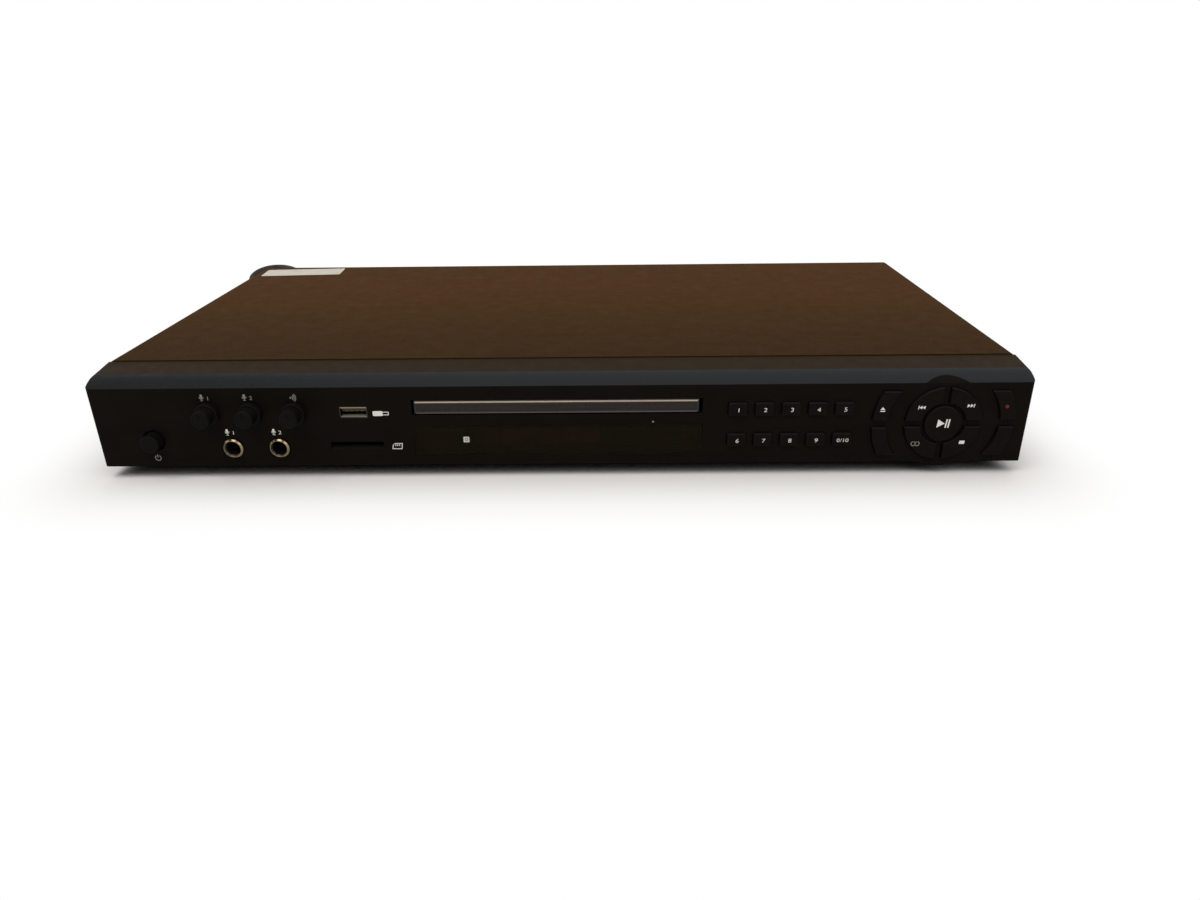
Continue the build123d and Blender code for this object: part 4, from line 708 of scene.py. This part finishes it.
def digits(name, text, size, x, height, depth, body, look=INK, shear=0.06):
    """Printed digits, centred on a place."""
    curve = bpy.data.curves.new(name + "_outline", "FONT")
    curve.body = text
    curve.size = size * MM
    curve.align_x = "CENTER"
    curve.align_y = "CENTER"
    curve.extrude = INK_THICKNESS / 2 * MM
    curve.offset = -0.006 * size * MM
    curve.shear = shear
    curve.resolution_u = 4
    holder = bpy.data.objects.new(name + "_outline", curve)
    bpy.context.scene.collection.objects.link(holder)
    bpy.context.view_layer.update()
    mesh = bpy.data.meshes.new_from_object(holder)
    bpy.data.objects.remove(holder)
    bpy.data.curves.remove(curve)
    mesh.name = name
    mesh.materials.clear()
    place = at(x, depth, height) - Vector((0, INK_THICKNESS / 2 * MM, 0))
    upright = Matrix.Rotation(math.radians(90), 4, "X")
    widened = Matrix.Scale(DIGIT_STRETCH, 4, (1, 0, 0))
    mesh.transform(Matrix.Translation(place) @ upright @ widened)
    return add_piece(name, mesh, look, body)


def mark(name, outlines, x, height, depth, body, look=INK, shear=0.0):
    """A printed symbol, its outlines given about a place on the front."""
    place = at(x, depth, height)
    flat_plate(name, outlines, INK_THICKNESS, place, look, body, shear)


# ---------------------------------------------------------------- mains lead
# The route's points and the coil's levels count up from the table, not from the face's edge.
LEAD = 5.4
COIL_X = -211.5
COIL_DEPTH = 320.0
ROUTE = [
    (-205.0, 247.0, 37.0),
    (-205.0, 266.5, 37.0),
    (-220.5, 284.5, 38.3),
    (-241.5, 292.5, 36.2),
    (-259.3, 303.5, 26.5),
    (-261.8, 319.5, 16.5),
    (-255.5, 338.5, 10.0),
    (-239.5, 351.0, 8.3),
    (-219.5, 355.5, 8.1),
]
TOP_LAYER = 8.1
BOTTOM_LAYER = 2.7
TURN_RADII = (36.4, 31.0, 25.6)
COIL_STEP = 20
COIL_END = 1800
PLUG_X = COIL_X + 8.0
PLUG_Z = 6.85
PLUG_DEPTH = COIL_DEPTH + TURN_RADII[0]


def level_between(angle, start, end, first, last):
    """Goes from one level to another between two angles, and is level on both sides."""
    share = min(1.0, max(0.0, (angle - start) / (end - start)))
    return first + (last - first) * share * share * (3 - 2 * share)


def coil_place(angle):
    """Radius and height of the wound lead: inwards on the top layer, outwards on the bottom one."""
    outer, middle, inner = TURN_RADII
    if angle < 540:
        radius = level_between(angle, 310, 360, outer, middle)
    elif angle < 1100:
        radius = level_between(angle, 670, 720, middle, inner)
    elif angle < 1460:
        radius = level_between(angle, 1260, 1310, inner, middle)
    else:
        radius = level_between(angle, 1620, 1670, middle, outer)
    return radius, level_between(angle, 955, 1005, TOP_LAYER, BOTTOM_LAYER)


def lead_points():
    """The route's own points, the coil's turns and the last run into the plug."""
    points = [Vector((x, FACE_Y + depth, z)) * MM for x, depth, z in ROUTE]
    for angle in range(COIL_STEP, COIL_END, COIL_STEP):
        radius, level = coil_place(angle)
        radius /= math.cos(math.radians(COIL_STEP / 2)) ** 0.75
        x = COIL_X + radius * math.sin(math.radians(angle))
        y = FACE_Y + COIL_DEPTH + radius * math.cos(math.radians(angle))
        points.append(Vector((x, y, level)) * MM)
    back = FACE_Y + PLUG_DEPTH
    points.append(Vector((COIL_X - 1.0, back, BOTTOM_LAYER)) * MM)
    points.append(Vector((PLUG_X, back, 4.2)) * MM)
    points.append(Vector((PLUG_X + 6.0, back, 6.0)) * MM)
    return points


def add_lead():
    """The mains lead as one piece, from the rear panel through its coil to the plug."""
    curve = bpy.data.curves.new("mains_lead", "CURVE")
    curve.dimensions = "3D"
    curve.bevel_depth = LEAD / 2 * MM
    curve.bevel_resolution = 5
    curve.resolution_u = 6
    curve.use_fill_caps = True
    spline = curve.splines.new("NURBS")
    points = lead_points()
    spline.points.add(len(points) - 1)
    for point, place in zip(spline.points, points):
        point.co = (*place, 1.0)
    spline.order_u = 3
    spline.use_endpoint_u = True
    piece = bpy.data.objects.new("mains_lead", curve)
    bpy.context.scene.collection.objects.link(piece)
    curve.materials.append(VINYL)
    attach(piece, "case")
    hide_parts("lead", "lead_coil")
    return piece


def superellipse(x, half_y, half_z, power, steps=40):
    """A rounded section across the plug, about its own axis."""
    ring = []
    for k in range(steps):
        angle = 2 * math.pi * k / steps
        c, s = math.cos(angle), math.sin(angle)
        y = half_y * math.copysign(abs(c) ** (2 / power), c)
        z = half_z * math.copysign(abs(s) ** (2 / power), s)
        ring.append((x, y, z))
    return ring


def loft(bm, sections, place):
    """A closed skin through a row of sections."""
    rings = [[bm.verts.new(place + Vector(p) * MM) for p in section] for section in sections]
    join_rings(bm, rings)
    bm.faces.new(rings[0])
    bm.faces.new(rings[-1])


def add_plug():
    """Slim two-pin plug: a ribbed sleeve, a waisted grip and a flat pin face."""
    place = Vector((PLUG_X, FACE_Y + PLUG_DEPTH, PLUG_Z)) * MM
    bm = bmesh.new()
    sections = []
    for k in range(9):
        radius = (3.35 if k % 2 else 3.0) + 0.09 * k
        sections.append(superellipse(1.8 * k, radius, radius, 2))
        sections.append(superellipse(1.8 * k + 1.0, radius, radius, 2))
    for x, half_y, half_z, power in (
        (16.4, 4.6, 4.3, 2.2),
        (18.0, 7.2, 5.6, 2.5),
        (21.0, 10.0, 6.2, 2.9),
        (26.0, 12.4, 6.1, 3.2),
        (32.0, 14.6, 6.0, 3.4),
        (38.0, 16.8, 6.5, 3.8),
        (42.0, 17.4, 6.8, 4.2),
        (48.6, 17.5, 6.8, 4.6),
        (49.6, 17.1, 6.5, 4.6),
        (50.0, 16.0, 5.6, 4.6),
    ):
        sections.append(superellipse(x, half_y, half_z, power))
    loft(bm, sections, place)
    for hand in (-1, 1):
        for k in range(4):
            grip = [superellipse(x, 4.6, 0.28, 3, 16) for x in (24.0 + 3 * k, 25.2 + 3 * k)]
            loft(bm, grip, place + Vector((0, 0, hand * 6.05)) * MM)
    mesh = finished_mesh(bm, "mains_plug")
    body = add_piece("mains_plug", mesh, BLACK, "case", 40)
    along = (1, 0, 0)
    sleeve = [(1.9, 0.0), (1.9, 9.6), (1.7, 9.8)]
    pin = [(1.75, 0.0), (2.0, 0.3), (2.0, 17.4), (1.7, 18.6), (0.9, 19.1), (0.2, 19.2)]
    pins = []
    for hand, side in ((-1, "a"), (1, "b")):
        start = place + Vector((49.8, hand * 9.3, 0)) * MM
        name = f"pin_sleeve_{side}"
        pins.append(lathe(name, sleeve, start, along, BLACK, "case", 24))
        pins.append(lathe(f"pin_{side}", pin, start, along, CHROME, "case", 24))
    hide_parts("plug")
    return [body] + pins


def add_relief():
    """Ribbed, tapered strain relief where the lead leaves the rear panel."""
    profile = [(2.8, -3.9), (6.4, -3.9), (6.4, -1.1), (4.95, -1.0), (4.95, 0.0), (6.3, 0.1)]
    profile += [(6.45, 0.5), (6.4, 2.6), (6.0, 3.1), (4.9, 3.5)]
    for k in range(8):
        start = 3.7 + 2.05 * k
        rib = 4.85 - 0.17 * k
        groove = rib - 0.75
        profile += [(rib, start), (rib, start + 1.0), (groove, start + 1.2), (groove, start + 1.85)]
    profile += [(3.5, 20.2), (3.3, 20.9), (2.6, 21.0)]
    place = at(-205, CASE_DEPTH - 1, 31)
    relief = lathe("lead_relief", profile, place, (0, 1, 0), VINYL, "case", 40, 30)
    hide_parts("strain_relief")
    return relief


def add_tie():
    """A flat band that holds the coil's turns together."""
    bm = bmesh.new()
    outline = rounded_bar(-8.3, 0.02, 16.6, 10.9, 2.4, 6)
    inside = rounded_bar(-7.6, 0.6, 15.2, 9.7, 1.9, 6)
    middle_x = COIL_X + TURN_RADII[1]
    middle_y = FACE_Y + COIL_DEPTH - 8
    loops = []
    for y in (-3.0, 3.0):
        for ring in (outline, inside):
            corners = [Vector((middle_x + x, middle_y + y, z)) * MM for x, z in ring]
            loops.append([bm.verts.new(corner) for corner in corners])
    front_out, front_in, back_out, back_in = loops
    join_rings(bm, [front_out, front_in, back_in, back_out, front_out])
    return add_piece("coil_tie", finished_mesh(bm, "coil_tie"), VINYL, "case", 40)


lead = add_lead()
relief = add_relief()
plug_pieces = add_plug()
tie = add_tie()

# ---------------------------------------------------------------- printed marks on the front
for number in range(1, 11):
    row, column = divmod(number - 1, 5)
    text = str(number) if number < 10 else "0/10"
    digits(
        f"digit_{number}",
        text,
        2.8 if number < 10 else 2.5,
        KEY_X + column * KEY_PITCH + 0.3,
        KEY_ROWS[row] - 0.3,
        KEY_DEPTH,
        f"number_key_{number}",
    )

RIGHT_ARROW = [(0, -0.85), (1.35, 0), (0, 0.85)]
LEFT_ARROW = [(1.35, -0.85), (1.35, 0.85), (0, 0)]


def moved(outline, x):
    """An outline moved sideways."""
    return [(a + x, b) for a, b in outline]


mark(
    "play_mark",
    [[(-2.7, -2.0), (0.7, 0), (-2.7, 2.0)], bar(1.0, -2.1, 0.65, 4.2), bar(2.2, -2.1, 0.65, 4.2)],
    HUB_X,
    HUB_HEIGHT + 0.2,
    KEY_DEPTH,
    "play_key",
    shear=0.1,
)
mark(
    "previous_mark",
    [bar(-1.75, -0.85, 0.35, 1.7), moved(LEFT_ARROW, -1.3), moved(LEFT_ARROW, 0.1)],
    HUB_X - 10.6,
    HUB_HEIGHT + 8.1,
    KEY_DEPTH,
    "previous_key",
    shear=0.15,
)
mark(
    "next_mark",
    [moved(RIGHT_ARROW, -1.5), moved(RIGHT_ARROW, -0.1), bar(1.35, -0.85, 0.35, 1.7)],
    HUB_X + 11.2,
    HUB_HEIGHT + 8.8,
    KEY_DEPTH,
    "next_key",
    shear=0.15,
)
mark(
    "stop_mark",
    [bar(-1.2, -0.8, 2.4, 1.6)],
    HUB_X + 9.9,
    HUB_HEIGHT - 9.2,
    KEY_DEPTH,
    "stop_key",
    shear=0.15,
)
mark(
    "mode_mark",
    [bow(0.85, 1.15, 100, 440, 24, (-0.9, 0)), bow(0.85, 1.15, 100, 440, 24, (0.9, 0))],
    HUB_X - 11.4,
    HUB_HEIGHT - 9.8,
    KEY_DEPTH,
    "audio_mode_key",
    DIM_INK,
)
mark(
    "eject_mark",
    [[(-1.1, -0.1), (1.1, -0.1), (0, 1.15)], bar(-1.1, -1.0, 2.2, 0.42)],
    HUB_X - 28.3,
    HUB_HEIGHT + 7.2,
    KEY_DEPTH,
    "eject_key",
)
mark(
    "record_mark",
    [arc_points(0.85, 0, 345, 23)],
    HUB_X + 27.6,
    HUB_HEIGHT + 8.3,
    KEY_DEPTH,
    "record_key",
    RED_INK,
)
# Plain outline of a hand microphone on a stand.
MICROPHONE = [
    rounded_bar(-0.55, 0.1, 1.1, 1.9, 0.5),
    bow(0.85, 1.1, 180, 360, 12, (0, 0.75)),
    bar(-0.13, -0.9, 0.26, 0.62),
    bar(-0.6, -1.15, 1.2, 0.25),
]


def numbered_microphone(name, number, x, height, look):
    """A microphone with its number beside it."""
    mark(f"{name}_{number}_mark", MICROPHONE, x - 1.7, height, FACE_DEPTH, "case", look)
    text = str(number)
    digits(f"{name}_{number}_digit", text, 2.6, x + 1.2, height, FACE_DEPTH, "case", look, 0)


numbered_microphone("level", 1, KNOB_X[0], KNOB_MARK_HEIGHT, DIM_INK)
numbered_microphone("level", 2, KNOB_X[1], KNOB_MARK_HEIGHT, DIM_INK)
mark(
    "echo_mark",
    [arc_points(0.4, 0, 345, 15)] + [bow(r, r + 0.3, -50, 50, 10) for r in (0.9, 1.6, 2.3)],
    KNOB_X[2] - 0.8,
    KNOB_MARK_HEIGHT + 0.1,
    FACE_DEPTH,
    "case",
    DIM_INK,
)
numbered_microphone("mic", 1, JACK_X[0], JACK_HEIGHT + 7.5, INK)
numbered_microphone("mic", 2, JACK_X[1], JACK_HEIGHT + 7.5, INK)
mark(
    "power_mark",
    [bow(1.15, 1.5, 122, 418, 26), bar(-0.18, 0.2, 0.36, 1.6)],
    POWER_X,
    4.4,
    FACE_DEPTH,
    "case",
    DIM_INK,
)
mark(
    "memory_stick_mark",
    [
        rounded_bar(-3.9, -1.2, 4.6, 2.4, 0.4),
        bar(0.9, -0.85, 2.2, 0.35),
        bar(0.9, 0.5, 2.2, 0.35),
        bar(3.1, -0.85, 0.35, 1.7),
    ],
    -81.0,
    26.0,
    FACE_DEPTH,
    "case",
)
mark(
    "memory_card_mark",
    [
        bar(-2.3, -1.5, 4.6, 0.35),
        bar(-1.3, 1.15, 3.6, 0.35),
        bar(-2.3, -1.15, 0.35, 1.75),
        bar(1.95, -1.15, 0.35, 2.3),
        [(-2.3, 0.6), (-1.95, 0.6), (-1.3, 1.15), (-1.3, 1.5)],
        bar(-1.1, 0.1, 0.4, 0.75),
        bar(-0.2, 0.1, 0.4, 0.75),
        bar(0.7, 0.1, 0.4, 0.75),
    ],
    -75.2,
    9.6,
    FACE_DEPTH,
    "case",
    shear=0.15,
)
mark(
    "window_mark",
    [
        bar(-1.3, -1.3, 2.6, 0.5),
        bar(-1.3, 0.8, 2.6, 0.5),
        bar(-1.3, -0.8, 0.5, 1.6),
        bar(0.8, -0.8, 0.5, 1.6),
        bar(-0.4, -0.4, 0.8, 0.8),
    ],
    -42.8,
    12.7,
    FACE_DEPTH,
    "case",
)

# ---------------------------------------------------------------- display, sockets, label, screws
DISPLAY_FACE = 4.5
FIGURE_START = -35.0
FIGURE_PITCH = 7.6
FIGURE_GROUP_GAP = 2.0


def seven_segments(x, height, width, tall, stroke):
    """The seven strokes of one display figure."""
    half = tall / 2
    right = x + width - stroke
    across = width - 2 * stroke
    up = half - stroke
    return [
        bar(x + stroke, height + tall - stroke, across, stroke),
        bar(right, height + half, stroke, up),
        bar(right, height + stroke, stroke, up),
        bar(x + stroke, height, across, stroke),
        bar(x, height + stroke, stroke, up),
        bar(x, height + half, stroke, up),
        bar(x + stroke, height + half - stroke / 2, across, stroke),
    ]


def display_look():
    """Dull amber strokes with a faint glow."""
    made = Surface("display_segments", 0.5, 0.2)
    made.colour(made.mottled(srgb(120, 78, 30), 0.15, 900.0)).uneven_gloss()
    made.shader.inputs["Emission Color"].default_value = (*srgb(160, 96, 34), 1)
    made.shader.inputs["Emission Strength"].default_value = 0.12
    return made.mat


def add_display():
    """Seven figures in two groups, on the face of the display behind the window."""
    segments = []
    for k in range(7):
        gap = FIGURE_GROUP_GAP if k > 2 else 0
        x = FIGURE_START + FIGURE_PITCH * k + gap
        segments += seven_segments(x, height=9.0, width=5.2, tall=7.0, stroke=0.7)
    place = at(0, DISPLAY_FACE, 0)
    look = display_look()
    flat_plate("display_segments", segments, 0.06, place, look, "case", 0.08)


add_display()


def add_usb_parts():
    """Four contact strips on the tongue and a lining above and below it."""
    strip_pitch, strip_width, tongue_top = 2.33, 1.1, 26.35
    for k in range(4):
        x = USB_X - 3.5 + strip_pitch * k
        strip = bar(x - strip_width / 2, tongue_top, strip_width, 0.3)
        name = f"usb_contact_{k + 1}"
        flat_plate(name, [strip], 3.0, at(0, 5.4, 0), BRASS, "case")
    upper = bar(USB_X - 5.9, 28.65, 11.8, 0.35)
    worn = metal("worn_flash", (0.40, 0.30, 0.17), 0.35)
    flat_plate("usb_upper_lining", [upper], 3.4, at(0, 3.7, 0), worn, "case")
    lower = bar(USB_X - 5.8, 24.25, 11.6, 0.3)
    pale = moulded("pale_lining", srgb(128, 124, 112), 0.5, 0.1)
    flat_plate("usb_lower_lining", [lower], 3.2, at(0, 3.5, 0), pale, "case")


add_usb_parts()


def add_card_contacts():
    """Nine contact strips deep in the card slot."""
    strips = [bar(CARD_X - 9.6 + 2.4 * k, 11.35, 1.3, 0.28) for k in range(9)]
    flat_plate("card_contacts", strips, 4.0, at(0, 15.0, 0), SHELL, "case")


add_card_contacts()

LABEL_X = -183.5
LABEL_DEPTH = 212.9
LABEL_TURN = 3.5
LABEL_PROUD = 0.012


def add_label():
    """Blank paper label near the cover's rear left corner, stuck on a little askew."""
    turn = Matrix.Rotation(math.radians(LABEL_TURN), 3, "Z")
    outline = rounded_bar(-26.0, -9.2, 52.0, 18.4, 1.4)
    corners = [turn @ Vector((x, depth, 0)) for x, depth in outline]
    bm = bmesh.new()
    loops = []
    for height in (COVER_TOP + LABEL_PROUD, COVER_TOP - 0.03):
        places = [at(LABEL_X + p.x, LABEL_DEPTH + p.y, height) for p in corners]
        loops.append([bm.verts.new(place) for place in places])
        bm.faces.new(loops[-1])
    join_rings(bm, loops)
    made = Surface("paper_label", 0.6, 0.2)
    made.colour(made.mottled(srgb(206, 200, 190), 0.06, 120.0))
    made.uneven_gloss().grain(900.0, 0.15, 0.00003)
    mesh = finished_mesh(bm, "cover_label")
    add_piece("cover_label", mesh, made.mat, "case", 40)


add_label()

SCREW_RADIUS = 2.9
SCREW_TALL = 1.4
SCREW_STEPS = 32
REAR_SCREW_X = (-170.0, 0.0, 170.0)
REAR_SCREW_HEIGHT = 41.2
SIDE_SCREW_DEPTH = (55.0, 185.0)
SIDE_SCREW_HEIGHT = 8.0


def screw_dome(radius):
    """Height of the screw head's dome at a distance from its middle."""
    return SCREW_TALL * (0.55 + 0.45 * math.sqrt(max(0.0, 1 - (radius / SCREW_RADIUS) ** 2)))


def screw_head(name, place, axis):
    """Domed screw head with a cross recess, made as one skin."""
    bm = bmesh.new()
    turn = Vector(axis).to_track_quat("Z", "Y").to_matrix()
    steps = SCREW_STEPS
    arm, slot = 0.62 * SCREW_RADIUS, 0.17 * SCREW_RADIUS
    profile = [(SCREW_RADIUS, -0.02), (SCREW_RADIUS, 0.45 * SCREW_TALL)]
    for share in (0.93, 0.86, 0.76, 0.7):
        profile.append((share * SCREW_RADIUS, screw_dome(share * SCREW_RADIUS)))
    loops = [turned_ring(bm, place, axis, radius, distance, steps) for radius, distance in profile]
    join_rings(bm, loops)
    bm.faces.new(loops[0])
    cross = [
        (arm, -slot), (arm, slot), (slot, slot), (slot, arm), (-slot, arm), (-slot, slot),
        (-arm, slot), (-arm, -slot), (-slot, -slot), (-slot, -arm), (slot, -arm), (slot, -slot),
    ]
    rim, floor = [], []
    for x, y in cross:
        edge = Vector((x, y, screw_dome(math.hypot(x, y))))
        deep = Vector((0.8 * x, 0.8 * y, 0.35 * SCREW_TALL))
        rim.append(bm.verts.new(place + turn @ edge * MM))
        floor.append(bm.verts.new(place + turn @ deep * MM))
    join_rings(bm, [rim, floor])
    bm.faces.new(floor)
    top = loops[-1]
    nearest = []
    for x, y in cross:
        angle = math.atan2(y, x) % (2 * math.pi)
        nearest.append(round(angle / (2 * math.pi) * steps) % steps)
    for k in range(len(cross)):
        n = (k + 1) % len(cross)
        step = nearest[k]
        outer = [top[step]]
        while step != nearest[n]:
            step = (step + 1) % steps
            outer.append(top[step])
        bm.faces.new([rim[k], *outer, rim[n]])
    return add_piece(name, finished_mesh(bm, name), STEEL, "case", 30)


def add_screws():
    """Three screws along the rear lip of the cover and two on each side."""
    for k, x in enumerate(REAR_SCREW_X):
        place = at(x, CASE_DEPTH, REAR_SCREW_HEIGHT)
        screw_head(f"rear_screw_{k + 1}", place, (0, 1, 0))
    for hand, side in ((-1, "left"), (1, "right")):
        for k, depth in enumerate(SIDE_SCREW_DEPTH):
            place = at(hand * COVER_HALF_WIDTH, depth, SIDE_SCREW_HEIGHT)
            screw_head(f"{side}_screw_{k + 1}", place, (hand, 0, 0))
    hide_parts("case_screws")


add_screws()

SOCKET_X = 116.0
SOCKET_HEIGHT = 17.0
SOCKET_PITCH = 14


def add_socket_inserts():
    """Coloured insulating rings inside the rear sockets."""
    colours = {
        "yellow": srgb(214, 178, 30),
        "white": srgb(220, 218, 210),
        "red": srgb(176, 34, 28),
        "green": srgb(40, 120, 62),
        "blue": srgb(38, 66, 150),
        "crimson": srgb(164, 40, 44),
    }
    profile = [(1.65, 0.0), (3.3, 0.0), (3.3, 0.9), (2.9, 1.3), (1.9, 1.3), (1.65, 1.0)]
    for k, (name, colour) in enumerate(colours.items()):
        row, column = divmod(k, 3)
        x = SOCKET_X + SOCKET_PITCH * column
        place = at(x, CASE_DEPTH + 6.2, SOCKET_HEIGHT + SOCKET_PITCH * row)
        look = moulded(f"insert_{name}", colour, 0.4, 0.4)
        lathe(f"insert_{name}", profile, place, (0, 1, 0), look, "case", 32)


add_socket_inserts()
